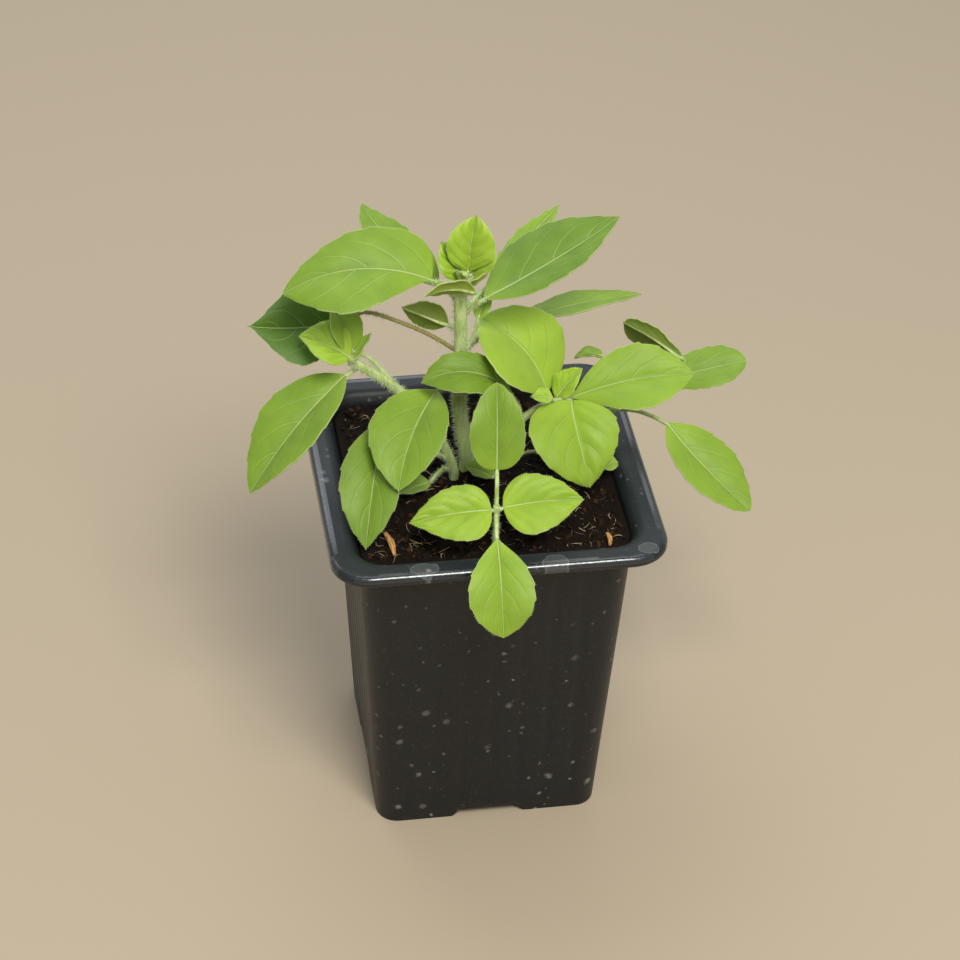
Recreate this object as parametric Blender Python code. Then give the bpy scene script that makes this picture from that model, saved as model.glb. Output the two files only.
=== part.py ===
"""A potted holy basil: a square nursery pot, its soil, five leafy shoots and two slivers of bark.

Sizes and places are written in millimetres and degrees, and MM turns them into metres.
The origin is the middle of the pot's base, +Z points up and -Y is the pot's front.
"""

import math

import bmesh
import bpy
from mathutils import Matrix, Vector

MM = 0.001

# Driving dimensions of the pot
POT_WIDTH = 90.0
POT_HEIGHT = 100.0
BASE_WIDTH = 62.0
BODY_TOP_WIDTH = 73.8
BODY_TOP_HEIGHT = 95.0
THROAT_WIDTH = 75.2
THROAT_HEIGHT = 98.3
THROAT_CORNER = 8.2
WALL = 1.0
SKIRT_DROP = 3.0
BASE_CORNER = 6.0
BODY_CORNER = 8.0
RIM_CORNER = 10.5
CORNER_STEPS = 6

# The floor, its feet and its drainage
FLOOR_BOTTOM = 3.0
FLOOR_TOP = 4.2
FOOT_DIAMETER = 16.0
DRAIN_DIAMETER = 8.0
DRAIN_PLACE = 17.0
NOTCH_WIDTH = 20.0
ROUND_SIDES = 24

# The shallow flutes in the outside of each wall
FLUTES = 7
FLUTE_PITCH = 7.75
FLUTE_WIDTH = 3.5
FLUTE_DEPTH = 0.35
FLUTE_BOTTOM = 6.0
FLUTE_TOP = 88.0

# The soil, with the gap that parts it from the pot and the stems
GAP = 0.3
STEM_GAP = 0.45
SOIL_EDGE = 95.8
SOIL_TOP = 96.3
SOIL_RELIEF = 0.8
SOIL_CELLS = 20
MOUND_PITCH = 13.0
LEVEL_BORDER = 5.0
ROOT_DEPTH = 13.0
SLIVER_LIFT = 0.5

# Where each stem leaves the soil, and its radius there
MAIN_FOOT = (-2.6, 5.0)
MAIN_RADIUS = 2.3
LEFT_FOOT = (-6.8, 1.2)
LEFT_RADIUS = 1.4
RIGHT_FOOT = (3.0, 0.5)
RIGHT_RADIUS = 1.1
SIDE_FOOT = (24.0, 12.0)
SIDE_RADIUS = 1.1
FRONT_FOOT = (-0.4, -30.0)
FRONT_RADIUS = 1.0

# Blades and their stalks
BLADE = 0.7
STALK_RADIUS = 0.7
STALK_INSIDE = 2.5
STATION = 3.2
TOOTH = 0.05
SMOOTH_STEPS = 3


def new_object(name, mesh):
    """Put a mesh in the scene as an object of this name."""
    item = bpy.data.objects.new(name, mesh)
    bpy.context.scene.collection.objects.link(item)
    return item


def object_from(bm, name):
    """Turn a bmesh into an object."""
    mesh = bpy.data.meshes.new(name)
    bm.to_mesh(mesh)
    bm.free()
    return new_object(name, mesh)


def apply_modifiers(item):
    """Replace an object's mesh by what its modifiers make of it."""
    bpy.context.view_layer.update()
    evaluated = item.evaluated_get(bpy.context.evaluated_depsgraph_get())
    mesh = bpy.data.meshes.new_from_object(evaluated)
    item.modifiers.clear()
    item.data = mesh


def boolean(item, tools, operation):
    """Join or cut an object with a list of others, which are then removed."""
    group = bpy.data.collections.new("tools")
    bpy.context.scene.collection.children.link(group)
    for tool in tools:
        bpy.context.scene.collection.objects.unlink(tool)
        group.objects.link(tool)
    modifier = item.modifiers.new(operation.lower(), "BOOLEAN")
    modifier.operation = operation
    modifier.operand_type = "COLLECTION"
    modifier.collection = group
    apply_modifiers(item)
    for tool in tools:
        bpy.data.objects.remove(tool)
    bpy.data.collections.remove(group)


def finish(item, name, material, sharp_angle):
    """Name an object, give it its material and smooth what is rounder than the angle."""
    item.name = name
    item.data.name = name
    item.data.materials.clear()
    item.data.materials.append(material)
    item.data.shade_smooth()
    item.data.set_sharp_from_angle(angle=math.radians(sharp_angle))


def make_material(name, colour, roughness):
    """A plain surface of one colour, given as linear red, green and blue."""
    material = bpy.data.materials.new(name)
    material.use_nodes = True
    shader = material.node_tree.nodes["Principled BSDF"]
    shader.inputs["Base Color"].default_value = (*colour, 1.0)
    shader.inputs["Roughness"].default_value = roughness
    shader.inputs["Metallic"].default_value = 0.0
    material.diffuse_color = (*colour, 1.0)
    return material


def rounded_square(half, corner, height):
    """The points of one ring, a level square with rounded corners."""
    points = []
    for quarter in range(4):
        middle = math.radians(90 * quarter + 45)
        reach = (half - corner) * math.sqrt(2)
        for step in range(CORNER_STEPS + 1):
            turn = math.radians(90 * quarter + 90 * step / CORNER_STEPS)
            x = reach * math.cos(middle) + corner * math.cos(turn)
            y = reach * math.sin(middle) + corner * math.sin(turn)
            points.append(Vector((x, y, height)))
    return points


def skin(rings):
    """A closed body through rings of points.

    It is bridged as a plain stack of circles, and each circle is then moved onto its ring.
    """
    bm = bmesh.new()
    circles = []
    loops = []
    for number, ring in enumerate(rings):
        verts = bmesh.ops.create_circle(
            bm, segments=len(ring), radius=1.0, matrix=Matrix.Translation((0, 0, number)),
        )["verts"]
        members = set(verts)
        circles.append(verts)
        loops.append([edge for edge in bm.edges if members.issuperset(edge.verts)])
    for lower, upper in zip(loops, loops[1:]):
        bmesh.ops.bridge_loops(bm, edges=lower + upper)
    bmesh.ops.contextual_create(bm, geom=loops[0])
    bmesh.ops.contextual_create(bm, geom=loops[-1])
    for verts, ring in zip(circles, rings):
        for vert, place in zip(verts, ring):
            vert.co = place * MM
    bmesh.ops.recalc_face_normals(bm, faces=bm.faces)
    return bm


def wall_half(height):
    """Half the pot's outer width at a height of its tapering body."""
    share = height / BODY_TOP_HEIGHT
    return (BASE_WIDTH + (BODY_TOP_WIDTH - BASE_WIDTH) * share) / 2


def wall_corner(height):
    """The corner radius of the pot's outside at this height."""
    return BASE_CORNER + (BODY_CORNER - BASE_CORNER) * height / BODY_TOP_HEIGHT


def inner_ring(height, clearance=0.0):
    """Half width, corner radius and height of the pot's inside, or of what stands clear in it.

    Above the body's top the inside flares out into the flange.
    """
    body = min(height, BODY_TOP_HEIGHT)
    flare = (height - body) / (THROAT_HEIGHT - BODY_TOP_HEIGHT)
    half = wall_half(body) - WALL
    corner = wall_corner(body) - WALL
    half += (THROAT_WIDTH / 2 - half) * flare
    corner += (THROAT_CORNER - corner) * flare
    return half - clearance, corner - clearance, height


def box(size, place, tilt, turn):
    """A box for cutting, tilted out from upright and turned round the pot's axis."""
    bm = bmesh.new()
    bmesh.ops.create_cube(bm, size=1.0)
    item = object_from(bm, "box")
    for vert in item.data.vertices:
        vert.co = Vector(a * b for a, b in zip(vert.co, size)) * MM
    item.rotation_euler = (tilt, 0.0, turn)
    x, y, z = place
    item.location = Vector((
        x * math.cos(turn) - y * math.sin(turn),
        x * math.sin(turn) + y * math.cos(turn),
        z,
    )) * MM
    return item


def rod(radius, bottom, top, x, y):
    """An upright cylinder between two heights."""
    bm = bmesh.new()
    bmesh.ops.create_cone(
        bm, cap_ends=True, segments=ROUND_SIDES,
        radius1=radius * MM, radius2=radius * MM, depth=(top - bottom) * MM,
    )
    item = object_from(bm, "rod")
    item.location = Vector((x, y, (bottom + top) / 2)) * MM
    return item


def flute_cutters():
    """Long boxes that follow the slope of each wall and bite just under its face."""
    slope = (BODY_TOP_WIDTH - BASE_WIDTH) / 2 / BODY_TOP_HEIGHT
    tilt = math.atan(slope)
    middle = (FLUTE_BOTTOM + FLUTE_TOP) / 2
    thick = 4.0
    length = (FLUTE_TOP - FLUTE_BOTTOM) / math.cos(tilt)
    out = wall_half(middle) + thick / 2 - FLUTE_DEPTH
    cutters = []
    for side in range(4):
        for number in range(FLUTES):
            x = (number - (FLUTES - 1) / 2) * FLUTE_PITCH
            size = (FLUTE_WIDTH, thick, length)
            cutters.append(box(size, (x, -out, middle), tilt, math.radians(90 * side)))
    return cutters


def drain_cutters():
    """Four round holes in the floor and a notch in the middle of each bottom edge."""
    cutters = []
    for x in (-DRAIN_PLACE, DRAIN_PLACE):
        for y in (-DRAIN_PLACE, DRAIN_PLACE):
            cutters.append(rod(DRAIN_DIAMETER / 2, FLOOR_BOTTOM - 1, FLOOR_TOP + 1, x, y))
    for side in range(4):
        size = (NOTCH_WIDTH, 4.0, 2 * (FLOOR_BOTTOM - 0.2))
        place = (0.0, -BASE_WIDTH / 2 + WALL / 2, 0.0)
        cutters.append(box(size, place, 0.0, math.radians(90 * side)))
    return cutters


def make_pot(material):
    """The pot: one moulded shell whose flange turns over into a short skirt."""
    half = POT_WIDTH / 2
    skirt = POT_HEIGHT - SKIRT_DROP
    under = skirt + 1.4
    body = BODY_TOP_HEIGHT
    profile = (
        inner_ring(FLOOR_BOTTOM),
        inner_ring(0.0),
        (wall_half(0), BASE_CORNER, 0.0),
        (wall_half(body), BODY_CORNER, body),
        (wall_half(body) + 0.7, BODY_CORNER + 0.3, body + 2.2),
        (wall_half(body) + 2.6, BODY_CORNER + 1.0, under),
        (half - 1.4, RIM_CORNER - 0.5, under),
        (half - 1.4, RIM_CORNER - 0.5, skirt),
        (half - 0.2, RIM_CORNER, skirt),
        (half, RIM_CORNER, skirt + 1.2),
        (half - 0.4, RIM_CORNER - 0.2, POT_HEIGHT - 0.5),
        (half - 1.4, RIM_CORNER - 0.5, POT_HEIGHT),
        (half - 5.1, RIM_CORNER - 1.5, POT_HEIGHT),
        (half - 6.0, THROAT_CORNER + 0.6, POT_HEIGHT - 0.3),
        inner_ring(THROAT_HEIGHT),
        inner_ring(body),
        inner_ring(FLOOR_TOP),
    )
    pot = object_from(skin([rounded_square(*ring) for ring in profile]), "pot")
    foot = rod(FOOT_DIAMETER / 2, 0.0, (FLOOR_BOTTOM + FLOOR_TOP) / 2, 0.0, 0.0)
    boolean(pot, [foot], "UNION")
    boolean(pot, flute_cutters() + drain_cutters(), "DIFFERENCE")
    finish(pot, "pot", material, 30)
    return pot


def soil_height(x, y):
    """The uneven top of the soil: mounds from crossing waves, level along the wall."""
    wave = 2 * math.pi / MOUND_PITCH
    mounds = math.sin(wave * x + 1.0) * math.cos(0.9 * wave * y)
    mounds += 0.6 * math.sin(0.4 * wave * x - 0.8 * wave * y + 2.0)
    border = inner_ring(SOIL_EDGE, clearance=GAP)[0]
    fade = min(1.0, (border - max(abs(x), abs(y))) / LEVEL_BORDER)
    return SOIL_TOP + SOIL_RELIEF * fade * mounds


def round_off(x, y, half, corner):
    """Draw a point of a square in, so that the square's corners become round."""
    flat = half - corner
    over_x = abs(x) - flat
    over_y = abs(y) - flat
    if min(over_x, over_y) <= 0:
        return x, y
    share = max(over_x, over_y) / math.hypot(over_x, over_y)
    return math.copysign(flat + over_x * share, x), math.copysign(flat + over_y * share, y)


def make_soil(material):
    """The soil: a block that fills the pot, mounded on top, with a plain hole for each stem."""
    half, corner, _ = inner_ring(SOIL_EDGE, clearance=GAP)
    bm = bmesh.new()
    bmesh.ops.create_grid(bm, x_segments=SOIL_CELLS, y_segments=SOIL_CELLS, size=half)
    for vert in bm.verts:
        x, y = round_off(vert.co.x, vert.co.y, half, corner)
        vert.co = Vector((x, y, soil_height(x, y))) * MM
    for height in (BODY_TOP_HEIGHT, FLOOR_TOP + GAP):
        border = [edge for edge in bm.edges if edge.is_boundary]
        down = bmesh.ops.extrude_edge_only(bm, edges=border)["geom"]
        lower = inner_ring(height, clearance=GAP)[0]
        for item in down:
            if isinstance(item, bmesh.types.BMVert):
                item.co.x *= lower / half
                item.co.y *= lower / half
                item.co.z = height * MM
        half = lower
    bmesh.ops.contextual_create(bm, geom=[edge for edge in bm.edges if edge.is_boundary])
    bmesh.ops.recalc_face_normals(bm, faces=bm.faces)
    soil = object_from(bm, "soil")
    stems = (
        (MAIN_FOOT, MAIN_RADIUS),
        (LEFT_FOOT, LEFT_RADIUS),
        (RIGHT_FOOT, RIGHT_RADIUS),
        (SIDE_FOOT, SIDE_RADIUS),
        (FRONT_FOOT, FRONT_RADIUS),
    )
    hole_bottom = SOIL_TOP - ROOT_DEPTH - GAP
    holes = [
        rod(radius + STEM_GAP, hole_bottom, SOIL_TOP + 4, *foot)
        for foot, radius in stems
    ]
    boolean(soil, holes, "DIFFERENCE")
    finish(soil, "soil", material, 40)
    return soil


def smooth_path(points):
    """Round off a path: a smooth curve through all its points."""
    points = [Vector(point) for point in points]
    ends = [2 * points[0] - points[1], *points, 2 * points[-1] - points[-2]]
    path = [points[0]]
    for before, start, stop, after in zip(ends, ends[1:], ends[2:], ends[3:]):
        for step in range(1, SMOOTH_STEPS + 1):
            t = step / SMOOTH_STEPS
            path.append(0.5 * (
                2 * start
                + (stop - before) * t
                + (2 * before - 5 * start + 4 * stop - after) * t ** 2
                + (3 * start - before - 3 * stop + after) * t ** 3
            ))
    return path


def tube(points, start_radius, end_radius, resolution=0):
    """A round stem or stalk along a path that tapers from one radius to another."""
    path = smooth_path(points)
    curve = bpy.data.curves.new("tube", "CURVE")
    curve.dimensions = "3D"
    curve.bevel_depth = start_radius * MM
    curve.bevel_resolution = resolution
    curve.use_fill_caps = True
    spline = curve.splines.new("POLY")
    spline.points.add(len(path) - 1)
    for number, (point, place) in enumerate(zip(spline.points, path)):
        share = number / (len(path) - 1)
        point.co = (*(place * MM), 1.0)
        point.radius = 1.0 + (end_radius / start_radius - 1.0) * share
    guide = new_object("tube", curve)
    bpy.context.view_layer.update()
    evaluated = guide.evaluated_get(bpy.context.evaluated_depsgraph_get())
    bm = bmesh.new()
    bm.from_mesh(bpy.data.meshes.new_from_object(evaluated))
    bpy.data.objects.remove(guide)
    bmesh.ops.remove_doubles(bm, verts=bm.verts, dist=0.01 * MM)
    bmesh.ops.recalc_face_normals(bm, faces=bm.faces)
    return object_from(bm, "tube")


def leaf_width(t, widest, tip):
    """The outline of a blade: 0 at its ends and 1 where it is widest."""
    start = tip * widest / (1 - widest)
    return t ** start * (1 - t) ** tip / (widest ** start * (1 - widest) ** tip)


def blade(base, heading, rise, length, width, droop=20, roll=0, sweep=0, fold=15,
          left=1.0, right=1.0, widest=0.42, tip=1.0, skew=0.0):
    """One leaf blade: a grid bent along its midrib, folded there and made solid.

    heading is its compass turn from +X, rise its slope up, droop how far it bends down from
    base to tip, sweep how far it curves to the left, roll the lift of its right-hand side,
    left and right scale its halves, and skew sets their widest places apart.
    """
    stations = max(5, min(12, round(length / STATION)))
    bm = bmesh.new()
    bmesh.ops.create_grid(bm, x_segments=stations, y_segments=2, size=0.5)
    columns = [[] for _ in range(stations + 1)]
    for vert in bm.verts:
        columns[round((vert.co.x + 0.5) * stations)].append(vert)
    middle = Vector(base)
    for number, column in enumerate(columns):
        t = number / stations
        if number:
            bend = (number - 0.5) / stations
            pitch = math.radians(rise + droop * (0.5 - bend))
            turn = math.radians(heading + sweep * (bend - 0.5))
            flat = math.cos(pitch)
            ahead = Vector((flat * math.cos(turn), flat * math.sin(turn), math.sin(pitch)))
            middle = middle + ahead * length / stations
        pitch = math.radians(rise + droop * (0.5 - t))
        turn = math.radians(heading + sweep * (t - 0.5))
        flat = math.cos(pitch)
        ahead = Vector((flat * math.cos(turn), flat * math.sin(turn), math.sin(pitch)))
        level = Vector((math.sin(turn), -math.cos(turn), 0.0))
        above = level.cross(ahead)
        tilt = math.radians(roll)
        across = level * math.cos(tilt) + above * math.sin(tilt)
        up = above * math.cos(tilt) - level * math.sin(tilt)
        tooth = 1 + TOOTH * (-1) ** number * min(1.0, 4 * t * (1 - t))
        crease = math.radians(fold)
        for vert in column:
            side = -round(vert.co.y * 2)
            half = max(0.4, width / 2 * leaf_width(t, widest - skew * side, tip) * tooth)
            scale = half * (right if side > 0 else left) * abs(side)
            vert.co = middle + (across * side * math.cos(crease) + up * math.sin(crease)) * scale
            vert.co *= MM
    bmesh.ops.triangulate(bm, faces=bm.faces)
    item = object_from(bm, "blade")
    thicken = item.modifiers.new("thickness", "SOLIDIFY")
    thicken.thickness = BLADE * MM
    thicken.offset = 0.0
    apply_modifiers(item)
    return item


def leaf(stalk, base, heading, rise, length, width, radius=STALK_RADIUS, **shape):
    """A blade with its stalk, which runs a little way in under the midrib."""
    pieces = [blade(base, heading, rise, length, width, **shape)]
    pitch = math.radians(rise + shape.get("droop", 20) / 2)
    turn = math.radians(heading - shape.get("sweep", 0) / 2)
    ahead = Vector((
        math.cos(pitch) * math.cos(turn),
        math.cos(pitch) * math.sin(turn),
        math.sin(pitch),
    ))
    inside = Vector(base) + ahead * min(STALK_INSIDE, length / 4)
    pieces.append(tube([*stalk, base, inside], radius, radius * 0.75))
    return pieces


def shoot(name, material, stem, pieces):
    """Fuse a stem with its leaves into one body."""
    boolean(stem, pieces, "UNION")
    finish(stem, name, material, 50)
    return stem


def foot_points(foot, *heights):
    """The straight part of a stem, which stands in its hole."""
    return [(*foot, height) for height in (SOIL_TOP - ROOT_DEPTH, *heights)]


def make_main_shoot(material):
    """The tall middle stem, with its leaves and the bud of young leaves on top."""
    stem = tube(
        [*foot_points(MAIN_FOOT, 90, 96, 98.5), (-3.8, 5.5, 107), (-5, 6, 118), (-5, 6, 136),
         (-5.5, 6, 154), (-4.8, 6, 159.5)],
        MAIN_RADIUS, 1.4, resolution=1,
    )
    leaves = [
        leaf([(-5.3, 5.8, 150), (-8.5, 4, 156.5)], (-13.6, 2, 160.2), 178, -3, 41.5, 24,
             droop=66, roll=27, fold=6, left=1.12, skew=0.14),
        leaf([(-5, 6, 145), (-2.2, 5, 149)], (0.5, 4, 152), 15, 23, 42, 21,
             droop=-10, roll=-8, fold=5, widest=0.46, left=1.15, right=0.75),
        leaf([(-5.3, 6, 149), (-8, 8, 152)], (-11, 10, 153.5), 128, 23, 31.5, 18,
             roll=-10, sweep=-40, left=1.15, right=0.8, widest=0.36),
        leaf([(-5.2, 6, 146), (-1, 9, 149)], (3.5, 12, 151), 42, 21, 31, 12,
             droop=15, left=0.6),
        leaf([(-5.3, 6, 152), (-4, 3.5, 154.5)], (-2.3, 2, 155.7), -158, 14, 16.5, 7,
             droop=50, roll=-62, fold=5, widest=0.5),
        leaf([(-5, 6, 133), (1.5, 14.5, 132.5)], (10.6, 25.5, 128.1), 4, 8, 38.5, 14,
             droop=20, roll=12, fold=5, widest=0.5),
        leaf([(-5, 6, 137.5), (-6, 8, 139.5)], (-8, 9.6, 140.6), 172, 24, 13.5, 7.3,
             droop=0, roll=-92, left=1.2, right=1.2),
        leaf([(-5, 6, 133.5), (-12, 7.2, 138.5), (-21, 8.5, 143.2), (-30, 12, 144.8)],
             (-34.5, 14, 140.5), 180, 2, 26.5, 22, droop=-20, roll=45, widest=0.47, tip=1.6),
        leaf([(-5, 6, 120), (-8, 3.5, 124)], (-12, 1, 125.5), -118, -25, 32, 21,
             droop=30, sweep=22, widest=0.48, tip=0.9, left=0.95, right=1.1),
        leaf([(-5, 6, 133), (-2.2, 6, 137)], (-0.6, 6.4, 144), 50, 42, 9, 5),
    ]
    bud = [
        leaf([(-5, 6, 158)], (-3.4, 6.4, 159.6), 40, 81, 16, 14,
             droop=14, roll=-40, fold=24, widest=0.5, tip=0.75),
        leaf([(-5, 6, 157)], (-2.4, 6.6, 158.2), 12, 70, 12.5, 10,
             droop=-14, roll=-50, fold=24, widest=0.45, tip=0.8),
        leaf([(-5, 6, 157)], (-4.6, 6.4, 157.8), 158, 58, 11.5, 10,
             droop=-14, roll=50, fold=24, widest=0.45, tip=0.8),
        leaf([(-5, 6, 155)], (-3.4, 5, 156.2), -35, 48, 7.5, 6, droop=-20, fold=20),
        leaf([(-5, 6, 156)], (-5.6, 5, 157.6), -120, 62, 5.5, 3.5, droop=-20, fold=20),
    ]
    return shoot("main_shoot", material, stem, sum(leaves + bud, []))


def make_left_shoot(material):
    """The stem that arches out to the left from beside the main one."""
    stem = tube(
        [*foot_points(LEFT_FOOT, 90, 96, 98.5), (-9.3, 3, 105), (-14, 4.6, 113.5), (-22, 5, 124),
         (-34, 4, 134.6)],
        LEFT_RADIUS, 1.1, resolution=1,
    )
    leaves = [
        leaf([(-32, 4.2, 133)], (-36, 4, 130.5), -150, -38, 41, 22, droop=30, widest=0.45),
        leaf([(-20, 5, 122), (-23.8, 2.8, 121.6)], (-26.3, 0.2, 118.4), -106, -33, 38, 18,
             droop=40, widest=0.52, left=0.9),
        leaf([(-33, 4, 133.7)], (-35, 2, 137.5), 168, 24, 15, 14, droop=30, roll=20),
        leaf([(-22, 5.2, 124.5), (-29, 6.8, 133.2)], (-34, 5, 137.7), 130, 55, 14, 11),
        leaf([(-33, 4, 133.8)], (-35.3, 3, 134.7), 35, 40, 10, 5, droop=-20, fold=40),
        leaf([(-6.8, 1.2, 98), (-10.5, -1.6, 101)], (-14.4, -5, 99.6), -165, -8, 9.5, 8),
        leaf([(-7, 1.3, 99), (-10.5, 1.6, 103.5)], (-15.4, 1.4, 102.2), 170, -10, 11, 8),
    ]
    return shoot("left_shoot", material, stem, sum(leaves, []))


def make_right_shoot(material):
    """The short stem right of the middle, which ends in a young pair of leaves."""
    stem = tube(
        [*foot_points(RIGHT_FOOT, 90, 96, 98.5), (5.4, 0.6, 105), (9, 0.4, 111.5), (13.3, 0, 116.5),
         (19.3, 2, 118.5)],
        RIGHT_RADIUS, 0.9, resolution=1,
    )
    leaves = [
        leaf([(11, 0.2, 114), (10, -1.6, 120)], (7.7, -3, 125.5), 178, 12, 28, 14,
             droop=95, roll=25, widest=0.55, left=1.15, right=0.8),
        leaf([(16.5, 1.2, 117.5)], (18.6, 4.6, 119.6), 150, 43, 29.2, 24.5,
             droop=70, roll=5, left=1.6, right=1.12, widest=0.5, tip=0.9, skew=0.06),
        leaf([(18.2, 1.7, 117.8), (19, -1.6, 121)], (18.4, -4.5, 124.4), 180, 10, 6, 5,
             roll=20, radius=0.5),
        leaf([(18.6, 1.8, 118)], (20.7, 2, 119.4), 10, 50, 11, 8, roll=-20, radius=0.5),
        leaf([(18.5, 1.8, 118)], (24.7, 3, 118.3), -2, 10, 34.5, 20,
             droop=30, roll=-28, widest=0.55, left=0.95, right=1.08),
        leaf([(17.5, 1.4, 117.7), (21, 0.4, 120)], (24.2, -1, 120.6), -79, -42, 25.5, 24,
             droop=60, sweep=30, left=0.92, right=1.22),
        leaf([(3, 0.5, 98), (11.3, -0.8, 103.5), (17, -1.3, 104.3), (24, -3, 103)],
             (29.5, -4.6, 100.8), 12, -6, 8.4, 8.2,
             droop=10, roll=-5, left=1.15, widest=0.55, tip=0.8, radius=0.6),
        leaf([(3, 0.5, 97.8), (3.8, -2.6, 99)], (3, -4.4, 99.2), 150, 12, 8.5, 8, radius=0.6),
    ]
    return shoot("right_shoot", material, stem, sum(leaves, []))


def make_side_shoot(material):
    """The stem at the far right, whose leaves reach out over the rim."""
    stem = tube(
        [*foot_points(SIDE_FOOT, 90, 96, 98.5), (28, 12.2, 103), (34.6, 12.5, 107.5),
         (43, 15.5, 110.5), (52, 18, 112)],
        SIDE_RADIUS, 0.8, resolution=1,
    )
    leaves = [
        leaf([(49, 17.2, 111.6)], (51.6, 18, 110.4), -3, 14, 26, 13,
             droop=10, roll=-25, fold=5, widest=0.6, tip=0.6),
        leaf([(50, 17.6, 111.6), (56, 18, 114.5)], (59.6, 18, 117.3), 150, 23, 20, 13,
             roll=-85, widest=0.66, tip=0.5, left=0.5, right=1.15),
        leaf([(32, 12.2, 105), (35, 16, 113)], (37, 20, 119), 178, 0, 9, 4, droop=90, roll=10),
        leaf([(31, 12.2, 104), (37.5, 11, 107.2), (45, 9, 107.8)], (53, 6, 105), -44, -31, 33, 17,
             droop=5, sweep=20, roll=-8, fold=8, widest=0.5, tip=0.75, left=1.12),
    ]
    return shoot("side_shoot", material, stem, sum(leaves, []))


def make_front_shoot(material):
    """The small shoot at the front, with two pairs of leaves crossed at one node."""
    stem = tube([*foot_points(FRONT_FOOT, 90, 98, 104, 109.5)], FRONT_RADIUS, 0.9, resolution=1)
    leaves = [
        leaf([(-0.4, -30, 108)], (-1.7, -30.5, 108.6), 180, -6, 22, 17,
             roll=28, widest=0.34, left=1.15, right=0.85),
        leaf([(-0.4, -30, 108)], (1.3, -30, 108.6), -5, 6, 21.5, 17.5,
             roll=-28, widest=0.36, left=0.88, right=1.22),
        leaf([(-0.4, -30, 107.5), (0, -27.5, 113)], (0.3, -25, 117.4), 84, 62, 23.5, 15,
             droop=34, tip=0.7),
        leaf([(-0.4, -30, 107), (-1.2, -35, 108)], (-1.9, -40.5, 107), -92, -46, 27, 17.5,
             droop=56, right=1.06, widest=0.57, tip=0.9),
    ]
    return shoot("front_shoot", material, stem, sum(leaves, []))


def make_sliver(name, material, start, end, width, height):
    """A split sliver of bark on the soil: a long block, tapered at both ends and a little bowed."""
    start = Vector((*start, 0.0))
    along = Vector((*end, 0.0)) - start
    spots = [start + along * step / 4 for step in range(5)]
    start.z = max(soil_height(spot.x, spot.y) for spot in spots) + SLIVER_LIFT
    across = Vector((-along.y, along.x, 0.0)).normalized()
    bm = bmesh.new()
    bmesh.ops.create_grid(bm, x_segments=5, y_segments=1, size=0.5)
    top = bmesh.ops.extrude_face_region(bm, geom=list(bm.faces))
    for item in top["geom"]:
        if isinstance(item, bmesh.types.BMVert):
            item.co.z = 1.0
    for vert in bm.verts:
        share = vert.co.x + 0.5
        taper = 1.0 - 0.6 * abs(2 * share - 1) ** 2
        bow = 0.4 * math.sin(math.pi * share)
        place = start + along * share + across * (vert.co.y * width * taper + bow)
        place.z += vert.co.z * height * taper
        vert.co = place * MM
    bmesh.ops.recalc_face_normals(bm, faces=bm.faces)
    sliver = object_from(bm, name)
    finish(sliver, name, material, 30)
    return sliver


def main():
    """Clear the scene and build every piece."""
    for item in list(bpy.data.objects):
        bpy.data.objects.remove(item)
    plastic = make_material("charcoal_plastic", (0.026, 0.027, 0.026), 0.42)
    peat = make_material("peaty_soil", (0.018, 0.010, 0.006), 0.95)
    leaf_green = make_material("basil_green", (0.25, 0.44, 0.05), 0.5)
    bark = make_material("bark", (0.50, 0.24, 0.07), 0.8)
    make_pot(plastic)
    make_soil(peat)
    make_main_shoot(leaf_green)
    make_left_shoot(leaf_green)
    make_right_shoot(leaf_green)
    make_side_shoot(leaf_green)
    make_front_shoot(leaf_green)
    make_sliver("bark_sliver_left", bark, (-29, -22.4), (-27.6, -32.8), 1.6, 1.1)
    make_sliver("bark_sliver_right", bark, (29.7, -29.4), (29.5, -35.2), 1.2, 0.9)


main()
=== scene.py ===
# %% [markdown]
# # A young holy basil in a square nursery pot
# The real thing is a seedling with soft, hairy leaves in a thin black pot full of peaty soil.
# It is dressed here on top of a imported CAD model, which is loaded first and gives every place.
# The CAD pieces are plain, so each one is replaced by a finer piece that keeps its form.

# %% Load the frame
import math
import random

import bmesh
import bpy
from mathutils import Matrix, Quaternion, Vector, noise


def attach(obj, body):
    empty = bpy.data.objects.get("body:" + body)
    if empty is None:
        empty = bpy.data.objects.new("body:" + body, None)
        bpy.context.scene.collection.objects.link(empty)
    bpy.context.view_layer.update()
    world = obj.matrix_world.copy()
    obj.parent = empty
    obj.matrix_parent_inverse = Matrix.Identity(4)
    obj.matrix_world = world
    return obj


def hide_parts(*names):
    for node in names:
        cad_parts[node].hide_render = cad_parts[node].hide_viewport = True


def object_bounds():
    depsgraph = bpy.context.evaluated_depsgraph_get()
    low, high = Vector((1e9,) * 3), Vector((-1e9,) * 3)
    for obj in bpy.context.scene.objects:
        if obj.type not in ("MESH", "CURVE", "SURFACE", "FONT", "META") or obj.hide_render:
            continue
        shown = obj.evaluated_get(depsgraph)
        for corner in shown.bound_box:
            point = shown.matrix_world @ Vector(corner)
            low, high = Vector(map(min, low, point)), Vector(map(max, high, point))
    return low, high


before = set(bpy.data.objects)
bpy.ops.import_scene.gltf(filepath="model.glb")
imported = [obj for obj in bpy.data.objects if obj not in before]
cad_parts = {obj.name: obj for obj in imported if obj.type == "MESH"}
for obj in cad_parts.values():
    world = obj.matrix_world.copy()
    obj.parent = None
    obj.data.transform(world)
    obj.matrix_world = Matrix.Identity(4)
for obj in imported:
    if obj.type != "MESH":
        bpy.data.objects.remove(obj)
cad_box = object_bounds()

MM = 0.001
print("CAD nodes:", sorted(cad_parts))
print("CAD box:", [[round(value, 4) for value in corner] for corner in cad_box])

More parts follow.
